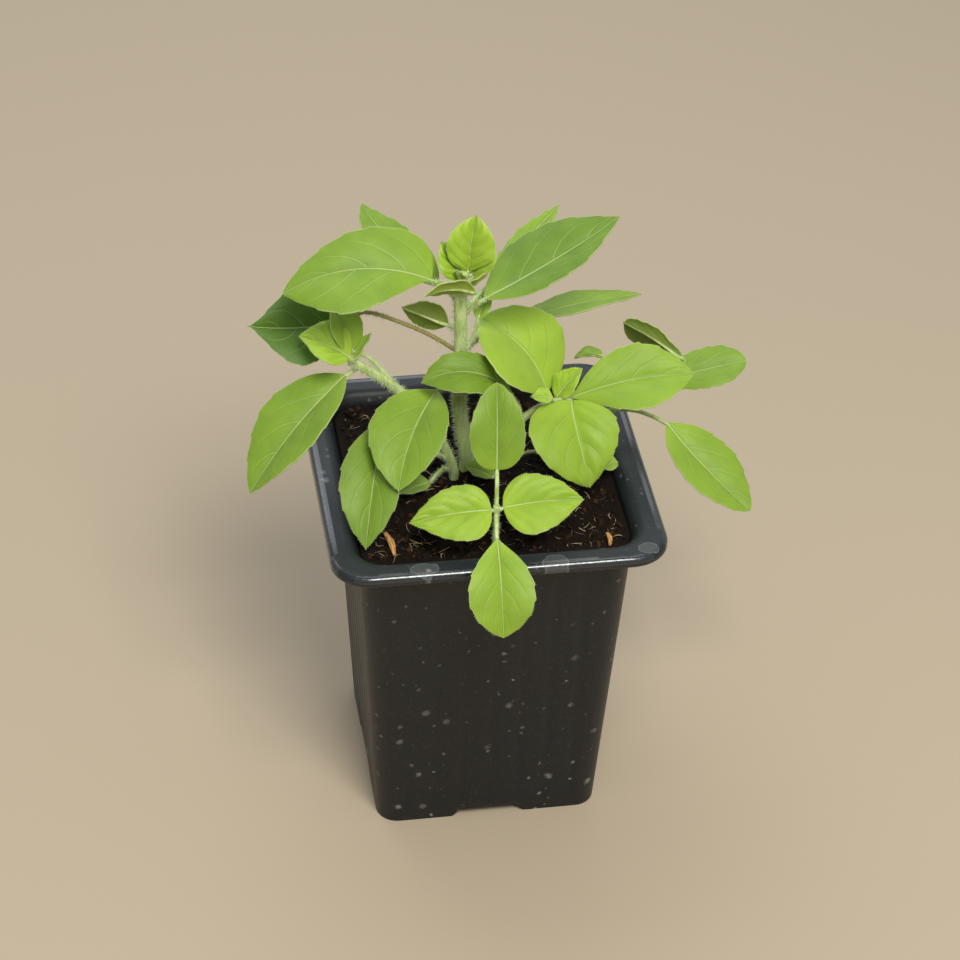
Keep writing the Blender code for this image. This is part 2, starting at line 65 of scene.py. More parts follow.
# %% [markdown]
# ## Camera
# The photograph looks down on the pot from its front left corner, through a long lens that
# shows hardly any perspective. The camera turns about a point in the middle of the pot: its
# compass turn, its height and its slight roll are written as angles, which are easy to read
# and to change. A tracking constraint would do the same, but it can't hold the roll.

# %% Camera
AZIMUTH, ELEVATION, ROLL = math.radians(-10.0), math.radians(37.5), math.radians(1.8)
DISTANCE = 892.6
SHIFT_RIGHT, SHIFT_UP = 1.14, 27.82
AIM = Vector((0.0, 0.0, 60.0))

back = Vector((
    math.sin(AZIMUTH) * math.cos(ELEVATION),
    -math.cos(AZIMUTH) * math.cos(ELEVATION),
    math.sin(ELEVATION),
))
level = Vector((math.cos(AZIMUTH), math.sin(AZIMUTH), 0.0))
upright = back.cross(level)
right = level * math.cos(ROLL) + upright * math.sin(ROLL)
up = upright * math.cos(ROLL) - level * math.sin(ROLL)
eye = AIM + back * DISTANCE + right * SHIFT_RIGHT + up * SHIFT_UP

camera = bpy.data.objects.new("camera", bpy.data.cameras.new("camera"))
bpy.context.scene.collection.objects.link(camera)
camera.data.lens = 120.0
camera.data.sensor_width = 36.0
camera.data.clip_end = 10.0
camera.matrix_world = Matrix.Translation(eye * MM) @ Matrix((right, up, back)).transposed().to_4x4()
bpy.context.scene.camera = camera
print("camera at", [round(value, 3) for value in camera.matrix_world.translation])

# %% [markdown]
# ## Colours and nodes
# Colours are written as they are read off a screen, in sRGB hex, and turned to the linear
# values that Blender computes with. One small function adds a node, sets it and links it, so
# that a material reads as a list of what it does.

# %% Colours and nodes
def linear(code):
    """A hex colour as linear red, green, blue and alpha."""
    parts = [int(code[place:place + 2], 16) / 255 for place in (1, 3, 5)]
    return (*(c / 12.92 if c <= 0.04045 else ((c + 0.055) / 1.055) ** 2.4 for c in parts), 1.0)


def add(tree, kind, inputs=None, **settings):
    """Add a node: its settings first, then values or links for its sockets by name or number."""
    node = tree.nodes.new(kind)
    for name, value in settings.items():
        setattr(node, name, value)
    sockets = [socket for socket in node.inputs if socket.enabled]
    for key, value in (inputs or {}).items():
        socket = sockets[key] if isinstance(key, int) else next(s for s in sockets if s.name == key)
        if isinstance(value, bpy.types.Node):
            value = next(output for output in value.outputs if output.enabled)
        if isinstance(value, bpy.types.NodeSocket):
            tree.links.new(value, socket)
        else:
            socket.default_value = value
    return node


def new_material(name):
    """An empty material with its Principled shader."""
    material = bpy.data.materials.new(name)
    material.use_nodes = True
    return material, material.node_tree, material.node_tree.nodes["Principled BSDF"]


def complete(tree, shader, base, layers, height, strength, distance, **constants):
    """Lay colours over the base colour by their factors, add a bump and set the constants."""
    colour = linear(base)
    for factor, code in layers:
        colour = add(tree, "ShaderNodeMix", {"Factor": factor, "A": colour, "B": linear(code)},
                     data_type="RGBA")
    tree.links.new(colour.outputs[2], shader.inputs["Base Color"])
    bump = add(tree, "ShaderNodeBump", {
        "Height": height, "Strength": strength, "Distance": distance,
    })
    tree.links.new(bump.outputs[0], shader.inputs["Normal"])
    for name, value in constants.items():
        shader.inputs[name.replace("_", " ")].default_value = value

# %% [markdown]
# ## Floor and light
# A plain pale floor and soft light stand in for a studio. The shadows tell where the real
# light is: the upper leaves shade what lies below and behind them, and the front lip has a thin
# line of gloss, so it comes from high up in front. A wide lamp there gives soft shadow edges,
# and a weaker one behind with a bright world opens the shadows as an open sky does.

# %% Floor
bm = bmesh.new()
bmesh.ops.create_grid(bm, x_segments=1, y_segments=1, size=1.5)
mesh = bpy.data.meshes.new("floor")
bm.to_mesh(mesh)
bm.free()
floor = bpy.data.objects.new("floor", mesh)
bpy.context.scene.collection.objects.link(floor)
material, tree, shader = new_material("floor_paint")
shader.inputs["Base Color"].default_value = linear("#BCAB91")
shader.inputs["Roughness"].default_value = 0.8
mesh.materials.append(material)

# %% Light
bpy.context.scene.view_settings.view_transform = "Standard"
world = bpy.data.worlds.new("sky")
bpy.context.scene.world = world
world.use_nodes = True
world.node_tree.nodes["Background"].inputs["Color"].default_value = linear("#E6ECF5")
world.node_tree.nodes["Background"].inputs["Strength"].default_value = 0.5


def lamp(name, place, size, power, colour):
    """A square area lamp that looks at the plant."""
    data = bpy.data.lights.new(name, "AREA")
    data.shape = "SQUARE"
    data.size = size
    data.energy = power
    data.color = linear(colour)[:3]
    item = bpy.data.objects.new(name, data)
    item.location = place
    item.rotation_euler = (Vector(place) - Vector((0, 0, 0.11))).to_track_quat("Z", "Y").to_euler()
    bpy.context.scene.collection.objects.link(item)


lamp("sun_lamp", (0.08, -0.62, 1.0), 0.4, 9.5, "#FFFDF6")
lamp("sky_lamp", (-0.1, 0.6, 0.95), 0.8, 3.5, "#F6FAFF")

# %% [markdown]
# ## Making pieces
# Most pieces here are either a skin through a row of rings, such as the pot and the stems, or
# a grid that is bent into place, such as the leaves and the soil. Both start as a plain grid:
# its faces already join up, so only the points have to be moved.

# %% Skins and pieces
def skin(rings):
    """A closed body through rings of points: a sheet rolled up, welded and capped."""
    bm = bmesh.new()
    rows, steps = len(rings) - 1, len(rings[0])
    bmesh.ops.create_grid(bm, x_segments=rows, y_segments=steps, size=0.5)
    for vert in bm.verts:
        ring = round((vert.co.x + 0.5) * rows)
        step = round((vert.co.y + 0.5) * steps) % steps
        vert.co = rings[ring][step] * MM
    bmesh.ops.remove_doubles(bm, verts=bm.verts, dist=1e-7)
    bmesh.ops.holes_fill(bm, edges=bm.edges, sides=0)
    bmesh.ops.recalc_face_normals(bm, faces=bm.faces)
    return bm


def object_from(bm, name, *materials):
    """Turn a bmesh into an object with smooth faces."""
    mesh = bpy.data.meshes.new(name)
    bm.to_mesh(mesh)
    bm.free()
    mesh.shade_smooth()
    for material in materials:
        mesh.materials.append(material)
    item = bpy.data.objects.new(name, mesh)
    bpy.context.scene.collection.objects.link(item)
    return item


def apply_modifiers(item):
    """Replace an object's mesh by what its modifiers make of it."""
    bpy.context.view_layer.update()
    evaluated = item.evaluated_get(bpy.context.evaluated_depsgraph_get())
    mesh = bpy.data.meshes.new_from_object(evaluated)
    item.modifiers.clear()
    item.data = mesh


def place_piece(item, slot, *nodes):
    """Let a piece ride on the part and stand for CAD nodes; its slot, the name of its finish, is not
    used.
    """
    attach(item, "root")
    if nodes:
        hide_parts(*nodes)
    triangles = sum(len(face.vertices) - 2 for face in item.data.polygons)
    print(f"{item.name}: {triangles} triangles")

# %% [markdown]
# ## Pot
# The pot is thin black polypropylene, moulded in one piece: a tapering body, a flat flange and
# a short skirt that hangs from its rounded lip. It is skinned through rounded squares, one
# ring for each height, with the lip drawn as a small arc so that it catches the light in one
# thin line. The flutes are pressed in by moving the points of the outer wall.

# %% Pot shape
BODY_TOP, THROAT = 95.0, 98.3
BASE_HALF, TOP_HALF, THROAT_HALF, WALL = 31.0, 36.9, 37.6, 1.0
SIDE_STEPS, CORNER_STEPS = 64, 9
FLUTE_PITCH, FLUTE_DEPTH, FLUTED_HALF, NOTCH_LIFT = 7.75, 0.35, 27, 2.8


def rounded_square(half, corner, height):
    """One level ring: a square with rounded corners and evenly divided sides."""
    points = []
    flat = half - corner
    for quarter in range(4):
        spin = Matrix.Rotation(math.radians(90 * quarter), 3, "Z")
        for step in range(SIDE_STEPS):
            points.append(spin @ Vector((half, flat * (2 * step / SIDE_STEPS - 1), height)))
        for step in range(CORNER_STEPS):
            turn = math.radians(90 * step / CORNER_STEPS)
            points.append(spin @ Vector((
                flat + corner * math.cos(turn), flat + corner * math.sin(turn), height,
            )))
    return points


def wall(height):
    """Half width and corner radius of the outside of the body at a height."""
    share = height / BODY_TOP
    return BASE_HALF + (TOP_HALF - BASE_HALF) * share, 6.0 + 2.0 * share


def inside(height, clearance=0.0):
    """The same for the inside, which flares out above the body."""
    body = min(height, BODY_TOP)
    flare = (height - body) / (THROAT - BODY_TOP)
    half, corner = (value - WALL for value in wall(body))
    half += (THROAT_HALF - half) * flare
    corner += (8.2 - corner) * flare
    return half - clearance, corner - clearance, height


def soft_step(value, low, high):
    """0 below low, 1 above high and a smooth rise between."""
    share = min(1.0, max(0.0, (value - low) / (high - low)))
    return share * share * (3 - 2 * share)


def flute(across, height):
    """How far the wall is pressed in at a distance from the middle of a side."""
    nearest = (across + 3.5 * FLUTE_PITCH) % FLUTE_PITCH - FLUTE_PITCH / 2
    if abs(across) > FLUTED_HALF:
        return 0.0
    groove = 1 - soft_step(abs(nearest), 0.7, 1.75)
    return FLUTE_DEPTH * groove * soft_step(height, 5, 8) * (1 - soft_step(height, 85, 89))


def notch(across, height):
    """How far the bottom edge is lifted in the middle of a side, to let water out."""
    return NOTCH_LIFT * (1 - soft_step(abs(across), 7.5, 10.5)) * (1 - min(1.0, height / 3))


outside = [(*wall(height), height) for height in (
    0, 0.6, 1.5, 3, 5, 6, 7, 8.5, 15, 25, 35, 45, 55, 65, 75, 83, 85.5, 87, 88.5, 91, 93.5, 95,
)]
lip = [
    (43.6 + 1.4 * math.cos(turn), 10 + 0.5 * math.cos(turn), 98.4 + 1.6 * math.sin(turn))
    for turn in (math.radians(15 * step) for step in range(7))
]
profile = [
    inside(3.0), inside(1.5), inside(0.0),
    *outside,
    (37.15, 8.1, 96.2), (37.7, 8.3, 97.3), (38.5, 8.7, 98.1), (39.6, 9.0, 98.4),
    (43.2, 9.9, 98.4), (43.55, 10.0, 98.2), (43.6, 10.0, 97.2), (43.9, 10.1, 97.0),
    (44.6, 10.4, 97.0), (44.85, 10.5, 97.2), (45.0, 10.5, 97.7), *lip,
    (42.6, 9.8, 99.86), (40.4, 9.1, 99.86), (39.6, 8.95, 99.8), (38.8, 8.7, 99.5),
    (38.1, 8.4, 98.9), inside(98.3), inside(97.0), inside(95.0), inside(60.0), inside(4.2),
]
print("rings of the pot:", len(profile))

# %% Pot body
rings = []
for number, ring in enumerate(profile):
    points = rounded_square(*ring)
    for place, point in enumerate(points):
        quarter, step = divmod(place, SIDE_STEPS + CORNER_STEPS)
        across = point.y if quarter % 2 == 0 else point.x
        if number < 3 + len(outside):
            point.z += notch(across, point.z)
        if 3 <= number < 3 + len(outside) and step <= SIDE_STEPS:
            inward = -Matrix.Rotation(math.radians(90 * quarter), 3, "Z").col[0]
            point += inward * flute(across, point.z)
    rings.append(points)
pot = object_from(skin(rings), "nursery_pot")
print("faces of the pot's skin:", len(pot.data.polygons))

# %% [markdown]
# The floor has four round drain holes and a round foot in the middle. Both are made with
# booleans, because they are plain cuts and a plain union, and nothing else has to bend there.

# %% Pot floor
def rod(radius, bottom, top, x, y):
    """An upright cylinder between two heights."""
    bm = bmesh.new()
    bmesh.ops.create_cone(
        bm, cap_ends=True, segments=40, radius1=radius * MM, radius2=radius * MM,
        depth=(top - bottom) * MM, matrix=Matrix.Translation(Vector((x, y, (bottom + top) / 2)) * MM),
    )
    return object_from(bm, "rod")


for operation, tools in (
    ("UNION", [rod(8.0, 0.0, 3.6, 0, 0)]),
    ("DIFFERENCE", [rod(4.0, 2.0, 5.2, x, y) for x in (-17, 17) for y in (-17, 17)]),
):
    for tool in tools:
        cut = pot.modifiers.new("cut", "BOOLEAN")
        cut.operation = operation
        cut.object = tool
    apply_modifiers(pot)
    for tool in tools:
        bpy.data.objects.remove(tool)
pot.data.set_sharp_from_angle(angle=math.radians(35))
print("faces with its foot and holes:", len(pot.data.polygons))

# %% [markdown]
# Black moulded polypropylene looks charcoal in daylight, with a soft sheen. This pot has been
# watered and handled: fine dust, pale specks of splashed soil on the walls and dried water
# marks on the flange. The specks are little balls in the cells of a pattern, which show only
# where they meet the wall, so that they differ in size without any list of places. The water
# marks are faint discs at chosen places with a thin pale edge.

# %% Specks and water marks
# In millimetres: the heights between which the flange begins, the distances from the middle
# between which its lip begins, and where the drops dried and how long and wide they are
FLANGE_BEGINS, LIP_BEGINS = (96.8, 97.4), (43.2, 43.8)
WATER_MARKS = (((-21.0, -42.2), (7.6, 5.4)), ((13.3, -43.6), (7.0, 6.5)), ((38.7, -40.6), (5.4, 4.6)))


def specks(tree, place, scale, kept, largest):
    """A share of a pattern's cells, each with a pale ball of its own size in its middle."""
    cells = add(tree, "ShaderNodeTexVoronoi", {"Vector": place, "Scale": scale})
    pick = add(tree, "ShaderNodeSeparateColor", {"Color": cells.outputs["Color"]})
    radius = add(tree, "ShaderNodeMapRange", {
        "Value": pick.outputs["Red"], "From Min": 1.0 - kept, "From Max": 1.0, "To Max": largest,
    })
    inner = add(tree, "ShaderNodeMath", {0: radius, 1: 0.3}, operation="MULTIPLY")
    dot = add(tree, "ShaderNodeMapRange", {
        "Value": cells.outputs["Distance"], "From Min": radius, "From Max": inner,
    })
    return add(tree, "ShaderNodeMath", {0: dot, 1: pick.outputs["Green"]}, operation="MULTIPLY")


def water_mark(tree, where, middle, size):
    """A dried drop on the flange, in millimetres: a faint disc with a thin pale edge."""
    shift = add(tree, "ShaderNodeVectorMath", {
        0: where, 1: (middle[0] * MM, middle[1] * MM, 0.0),
    }, operation="SUBTRACT")
    shift = add(tree, "ShaderNodeVectorMath", {
        0: shift, 1: (2 / size[0] / MM, 2 / size[1] / MM, 0.0),
    }, operation="MULTIPLY")
    reach = add(tree, "ShaderNodeVectorMath", {0: shift}, operation="LENGTH").outputs["Value"]
    ragged = add(tree, "ShaderNodeTexNoise", {"Vector": where, "Scale": 420.0, "Detail": 3.0})
    reach = add(tree, "ShaderNodeMath", {0: ragged, 1: 0.7, 2: reach}, operation="MULTIPLY_ADD")
    disc = add(tree, "ShaderNodeMapRange", {
        "Value": reach, "From Min": 1.38, "From Max": 1.2, "To Max": 0.1,
    })
    edge = add(tree, "ShaderNodeMath", {0: reach, 1: 1.3}, operation="SUBTRACT")
    edge = add(tree, "ShaderNodeMath", {0: edge}, operation="ABSOLUTE")
    edge = add(tree, "ShaderNodeMapRange", {
        "Value": edge, "From Min": 0.09, "From Max": 0.0, "To Max": 0.22,
    })
    return add(tree, "ShaderNodeMath", {0: disc, 1: edge}, operation="ADD")


print("water marks:", len(WATER_MARKS))

# %% [markdown]
# The plastic itself is nearly black; from the flange up it is painted a lighter blue grey, a
# painted reflection of the sky. Handling leaves clouds on it, and the outer edge of the lip is
# rubbed to a higher gloss than the rest, so its faces get a material with a clear coat.

# %% Pot material
def pot_plastic(name, shine):
    """Moulded black polypropylene: charcoal, satin, dusty, with dried water marks and a painted sky
    reflection on the flange.
    """
    material, tree, shader = new_material(name)
    where = add(tree, "ShaderNodeTexCoord").outputs["Object"]
    axes = add(tree, "ShaderNodeSeparateXYZ", {"Vector": where}).outputs
    # Cloudy handling marks, about 30 mm across
    cloud = add(tree, "ShaderNodeTexNoise", {"Vector": where, "Scale": 33.0, "Detail": 4.0})
    # Specks in cells of 6 and 3 mm, made ragged by a warp of 1.2 mm
    warp = add(tree, "ShaderNodeTexNoise", {"Vector": where, "Scale": 900.0, "Detail": 2.0})
    shifted = add(tree, "ShaderNodeVectorMath", {0: warp.outputs["Color"], 1: (1.2 * MM,) * 3},
                  operation="MULTIPLY")
    ragged = add(tree, "ShaderNodeVectorMath", {0: where, 1: shifted}, operation="ADD")
    large = specks(tree, ragged, 170.0, 1.0, 0.26)
    small = specks(tree, ragged, 330.0, 0.7, 0.26)
    dots = add(tree, "ShaderNodeMath", {0: large, 1: small}, operation="MAXIMUM")
    dots = add(tree, "ShaderNodeMath", {0: dots, 1: 0.7}, operation="MULTIPLY")
    # Fine dust, a grain of 0.6 mm and less
    dust = add(tree, "ShaderNodeTexNoise", {"Vector": where, "Scale": 1600.0, "Detail": 3.0})
    grain = add(tree, "ShaderNodeMapRange", {
        "Value": dust, "From Min": 0.56, "From Max": 0.75, "To Max": 0.3,
    })
    flange = add(tree, "ShaderNodeMapRange", {
        "Value": axes["Z"], "From Min": FLANGE_BEGINS[0] * MM, "From Max": FLANGE_BEGINS[1] * MM,
    })
    marks = None
    for middle, size in WATER_MARKS:
        mark = water_mark(tree, where, middle, size)
        marks = mark if marks is None else add(tree, "ShaderNodeMath", {0: marks, 1: mark},
                                               operation="MAXIMUM")
    marks = add(tree, "ShaderNodeMath", {0: marks, 1: flange}, operation="MULTIPLY")
    # Painted reflection: from the flange up the plastic is mixed to a lighter blue grey, as the sky
    # shows on it
    layers = ((cloud, "#14181C"), (flange, "#1A2122"), (grain, "#4A4A46"), (dots, "#A6A59B"),
              (marks, "#B4B9B4"))
    # The lip is rubbed smooth in places and scratched in others, so its gloss is broken
    sides = [add(tree, "ShaderNodeMath", {0: axes[axis]}, operation="ABSOLUTE") for axis in "XY"]
    out = add(tree, "ShaderNodeMath", {0: sides[0], 1: sides[1]}, operation="MAXIMUM")
    lip = add(tree, "ShaderNodeMapRange", {
        "Value": out, "From Min": LIP_BEGINS[0] * MM, "From Max": LIP_BEGINS[1] * MM,
    })
    lip = add(tree, "ShaderNodeMath", {0: lip, 1: flange}, operation="MULTIPLY")
    scuff = add(tree, "ShaderNodeTexNoise", {"Vector": where, "Scale": 700.0, "Detail": 4.0})
    worn = add(tree, "ShaderNodeMapRange", {
        "Value": scuff, "From Min": 0.4, "From Max": 0.6, "To Min": 0.14, "To Max": 0.34,
    })
    rough = add(tree, "ShaderNodeMapRange", {"Value": cloud, "To Min": 0.38, "To Max": 0.52})
    rough = add(tree, "ShaderNodeMix", {"Factor": lip, "A": rough, "B": worn})
    tree.links.new(rough.outputs[0], shader.inputs["Roughness"])
    dents = add(tree, "ShaderNodeMath", {0: scuff, 1: lip}, operation="MULTIPLY")
    relief = add(tree, "ShaderNodeMath", {0: dust, 1: 0.5, 2: dents}, operation="MULTIPLY_ADD")
    complete(tree, shader, "#0A0D11", layers, relief, 0.5, 0.15 * MM, IOR=1.49,
             Coat_Weight=shine, Coat_Roughness=0.2)
    return material


pot.data.materials.clear()
pot.data.materials.append(pot_plastic("moulded_polypropylene", 0.0))
pot.data.materials.append(pot_plastic("rubbed_polypropylene_lip", 1.0))
# The lip's faces: outside of the flange's flat part and above its skirt
for face in pot.data.polygons:
    across = max(abs(face.center.x), abs(face.center.y))
    face.material_index = 1 if across > 43.1 * MM and face.center.z > 98.45 * MM else 0
place_piece(pot, "charcoal_plastic", "pot")

# %% [markdown]
# ## Scattering small things
# Hairs, crumbs and fibres are one small shape each, repeated hundreds of times. A particle
# system would be lost in the export. Instead of a particle system, a mesh of loose points
# holds each copy's turn, size and tone, a few geometry nodes put the shape on every point, and
# the result is applied as plain mesh.

# %% Scatter
def scatter_tree(shape):
    """Geometry nodes that put a shape on every point, turned and sized as the point says."""
    tree = bpy.data.node_groups.new("scatter", "GeometryNodeTree")
    tree.interface.new_socket("Geometry", in_out="INPUT", socket_type="NodeSocketGeometry")
    tree.interface.new_socket("Geometry", in_out="OUTPUT", socket_type="NodeSocketGeometry")
    points = add(tree, "NodeGroupInput")
    thing = add(tree, "GeometryNodeObjectInfo", {"Object": shape})
    turn = add(tree, "GeometryNodeInputNamedAttribute", {"Name": "turn"}, data_type="FLOAT_VECTOR")
    size = add(tree, "GeometryNodeInputNamedAttribute", {"Name": "size"}, data_type="FLOAT_VECTOR")
    copies = add(tree, "GeometryNodeInstanceOnPoints", {
        "Points": points, "Instance": thing.outputs["Geometry"], "Rotation": turn, "Scale": size,
    })
    real = add(tree, "GeometryNodeRealizeInstances", {"Geometry": copies})
    add(tree, "NodeGroupOutput", {"Geometry": real})
    return tree


def scatter(name, shape, spots, material):
    """A piece of many copies; each spot is a place, an aim, a size and a tone."""
    bm = bmesh.new()
    turn = bm.verts.layers.float_vector.new("turn")
    size = bm.verts.layers.float_vector.new("size")
    tone = bm.verts.layers.float.new("tone")
    draw = random.Random(name)
    for place, aim, grow, shade in spots:
        vert = bm.verts.new(place * MM)
        spin = Quaternion(aim.normalized(), draw.uniform(0, 2 * math.pi))
        vert[turn] = (spin @ aim.to_track_quat("Z", "Y")).to_euler()
        vert[size] = Vector(grow) * MM
        vert[tone] = shade
    item = object_from(bm, name)
    modifier = item.modifiers.new("scatter", "NODES")
    modifier.node_group = scatter_tree(shape)
    apply_modifiers(item)
    item.data.materials.clear()
    item.data.materials.append(material)
    item.data.shade_smooth()
    return item

# %% [markdown]
# ## Soil
# Potting soil is peat: dark, moist crumbs from dust up to 3 mm, with pale fibres and bits of
# straw. The bed is a fine grid pushed up and down by noise. Its crumbs and fibres are
# scattered on it, because only loose pieces give the sharp little shadows that make soil
# look loose.

# %% Soil bed
SOIL_TOP, SOIL_EDGE, SOIL_GAP = 96.3, 95.8, 0.3
MOUND_PITCH, MOUND_HEIGHT, LEVEL_BORDER = 13.0, 0.8, 5.0
STEMS = {
    "main": ((-2.6, 5.0), 2.3), "left": ((-6.8, 1.2), 1.4), "right": ((3.0, 0.5), 1.1),
    "side": ((24.0, 12.0), 1.1), "front": ((-0.4, -30.0), 1.0),
}


def soil_height(x, y):
    """The top of the soil in millimetres: the mounds of the CAD, and crumbly noise on them."""
    wave = 2 * math.pi / MOUND_PITCH
    mounds = math.sin(wave * x + 1.0) * math.cos(0.9 * wave * y)
    mounds += 0.6 * math.sin(0.4 * wave * x - 0.8 * wave * y + 2.0)
    border = inside(SOIL_EDGE, SOIL_GAP)[0]
    fade = min(1.0, (border - max(abs(x), abs(y))) / LEVEL_BORDER)
    place = Vector((x, y, 0))
    rough = noise.turbulence(place * 0.3, 4, False) - 0.5
    lumps = noise.noise(place * 0.8) + 0.6 * noise.noise(place * 1.9)
    return SOIL_TOP + fade * (MOUND_HEIGHT * mounds + 0.8 * rough + 0.35 * lumps)


STEPS = 150
bm = bmesh.new()
bmesh.ops.create_grid(bm, x_segments=STEPS, y_segments=STEPS, size=1.0)
half, corner, _ = inside(SOIL_EDGE, SOIL_GAP)
for vert in bm.verts:
    x, y = vert.co.x, vert.co.y
    reach = max(abs(x), abs(y))
    if reach > 0:
        # The distance to the rounded square along this direction, against that to the square
        way = Vector((abs(x), abs(y))) / reach
        flat = half - corner
        out = half
        if min(way) * half > flat:
            a, b, c = way.dot(way), -2 * flat * (way.x + way.y), 2 * flat * flat - corner ** 2
            out = (-b + math.sqrt(max(0.0, b * b - 4 * a * c))) / (2 * a)
        x, y = x * out, y * out
    vert.co = Vector((x, y, soil_height(x, y))) * MM
border = [edge for edge in bm.edges if edge.is_boundary]
down = bmesh.ops.extrude_edge_only(bm, edges=border)["geom"]
bottom = [item for item in down if isinstance(item, bmesh.types.BMVert)]
low_half, _, low = inside(4.5, SOIL_GAP)
for vert in bottom:
    vert.co.x *= low_half / half
    vert.co.y *= low_half / half
    vert.co.z = low * MM
bmesh.ops.holes_fill(bm, edges=[e for e in bm.edges if e.is_boundary], sides=0)
bmesh.ops.recalc_face_normals(bm, faces=bm.faces)
heights = [vert.co.z / MM for vert in set(bm.verts) - set(bottom)]
print("top of the soil from", round(min(heights), 1), "to", round(max(heights), 1), "mm")

# %% [markdown]
# Moist peat is nearly black where it is wet and warm brown on its drier crumbs, and it hardly
# shines. Each crumb has a tone of its own, which the points gave it.

# %% Soil materials
def peat(name, dark, light, rough):
    """Moist peat: two browns in grains of about 1.5 mm, dull, with a fine rough bump."""
    material, tree, shader = new_material(name)
    where = add(tree, "ShaderNodeTexCoord").outputs["Object"]
    tone = add(tree, "ShaderNodeAttribute", attribute_name="tone").outputs["Fac"]
    grains = add(tree, "ShaderNodeTexNoise", {
        "Vector": where, "Scale": 650.0, "Detail": 6.0, "Roughness": 0.7,
    })
    mixed = add(tree, "ShaderNodeMath", {0: grains, 1: 0.9, 2: tone}, operation="MULTIPLY_ADD")
    share = add(tree, "ShaderNodeMapRange", {"Value": mixed, "From Min": 0.35, "From Max": 1.35})
    complete(tree, shader, dark, [(share, light)], grains, 0.9, 0.6 * MM, Roughness=rough,
             Specular_IOR_Level=0.18)
    return material


peat_bed = peat("moist_peat", "#110A04", "#33200F", 0.9)
peat_crumb = peat("peat_crumbs", "#150C06", "#47301B", 0.85)
peat_fibre = peat("peat_fibres", "#3A2616", "#CDB68C", 0.8)
soil = object_from(bm, "peaty_soil", peat_bed)
place_piece(soil, "peaty_soil", "soil")

# %% [markdown]
# Crumbs of peat are lumpy and of all sizes, most of them small. Three shapes in three sizes
# are enough, because each copy is turned and stretched in its own way.

# %% Crumbs
def lump(name, detail, roughness, seed):
    """A crumb one unit across: a small ball with its points pushed about."""
    bm = bmesh.new()
    bmesh.ops.create_icosphere(bm, subdivisions=detail, radius=0.5)
    for vert in bm.verts:
        shift = noise.noise(vert.co * 2.3 + Vector((seed, 0, 0)))
        vert.co *= 1 + roughness * shift
    return object_from(bm, name)


def free_spot(draw, margin):
    """A random place on the soil that isn't inside a stem."""
    while True:
        x, y = draw.uniform(-margin, margin), draw.uniform(-margin, margin)
        if all(math.hypot(x - foot[0], y - foot[1]) > radius + 1.0 for foot, radius in STEMS.values()):
            return x, y


def random_way(draw, flatness=1.0):
    """A random direction; flatness 0 lays it level."""
    turn, rise = draw.uniform(0, 2 * math.pi), draw.uniform(-1, 1) * flatness
    return Vector((math.cos(turn), math.sin(turn), rise))


# For each shape: how many crumbs, their usual size in millimetres, how finely they are made
CRUMBS = ((260, 0.9, 2), (330, 1.4, 2), (900, 0.5, 1))
# How far from the middle crumbs and fibres lie, in millimetres
CRUMB_REACH, FIBRE_REACH = 34.3, 33.0

draw = random.Random("crumbs")
for number, (count, usual, detail) in enumerate(CRUMBS):
    crumb = lump("crumb", detail, 0.9, 7.0 * number)
    spots = []
    for _ in range(count):
        x, y = free_spot(draw, CRUMB_REACH)
        size = usual * draw.uniform(0.6, 1.6)
        grow = (size, size * draw.uniform(0.6, 1.0), size * draw.uniform(0.5, 0.9))
        place = Vector((x, y, soil_height(x, y) + 0.12 * size))
        spots.append((place, random_way(draw), grow, draw.random() ** 2))
    piece = scatter(f"soil_crumbs_{number + 1}", crumb, spots, peat_crumb)
    place_piece(piece, "peaty_soil")
    bpy.data.objects.remove(crumb)

# %% [markdown]
# Between the crumbs lie bent fibres of moss and bits of straw, nearly flat on the bed. A strip
# of six small rings is the plainest shape that can be bent.

# %% Fibres
def fibre(name, bow):
    """A thin bent strip, one unit long: a row of small rings along a curve."""
    rings = []
    for step in range(6):
        share = step / 5
        middle = Vector((bow * math.sin(math.pi * share), 0.5 * bow * share ** 2, share - 0.5))
        thick = 0.5 * (1 - 0.7 * abs(2 * share - 1) ** 3)
        rings.append([
            (middle + Vector((math.cos(turn), math.sin(turn), 0)) * thick * 0.05) / MM
            for turn in (math.pi * 2 * side / 4 for side in range(4))
        ])
    return object_from(skin(rings), name)


# For each shape: how many fibres, and how far they bow out
FIBRES = ((240, 0.12), (170, 0.3))

draw = random.Random("fibres")
for number, (count, bow) in enumerate(FIBRES):
    strand = fibre("strand", bow)
    spots = []
    for _ in range(count):
        x, y = free_spot(draw, FIBRE_REACH)
        size = draw.uniform(1.5, 5.0)
        thick = draw.uniform(2.0, 4.5)
        place = Vector((x, y, soil_height(x, y) + 0.25))
        spots.append((place, random_way(draw, 0.22), (thick, thick, size), draw.random()))
    piece = scatter(f"soil_fibres_{number + 1}", strand, spots, peat_fibre)
    place_piece(piece, "peaty_soil")
    bpy.data.objects.remove(strand)

# %% [markdown]
# ## Leaves
# A holy basil leaf is a soft blade with a sunken midrib, a few pairs of veins that arch towards
# its tip, tissue that swells between them, and a margin of small forward-pointing teeth. Each
# blade is a grid: its middle row follows the midrib, which rises, droops and sweeps as the CAD
# leaf does, and its rows across are lifted and pressed in by the veins.
# The fine veins are finer than the grid. Every corner of every face therefore carries where it
# lies in the leaf, and the material draws the veins from that.

# %% Leaf outline and midrib
def leaf_width(t, widest, tip):
    """The outline of a blade: 0 at its ends and 1 where it is widest."""
    start = tip * widest / (1 - widest)
    return t ** start * (1 - t) ** tip / (widest ** start * (1 - widest) ** tip)


def bend(share, heading, rise, droop, sweep):
    """The direction ahead at a share of the midrib, and the level direction to its right."""
    pitch = math.radians(rise + droop * (0.5 - share))
    turn = math.radians(heading + sweep * (share - 0.5))
    flat = math.cos(pitch)
    ahead = Vector((flat * math.cos(turn), flat * math.sin(turn), math.sin(pitch)))
    return ahead, Vector((math.sin(turn), -math.cos(turn), 0.0))


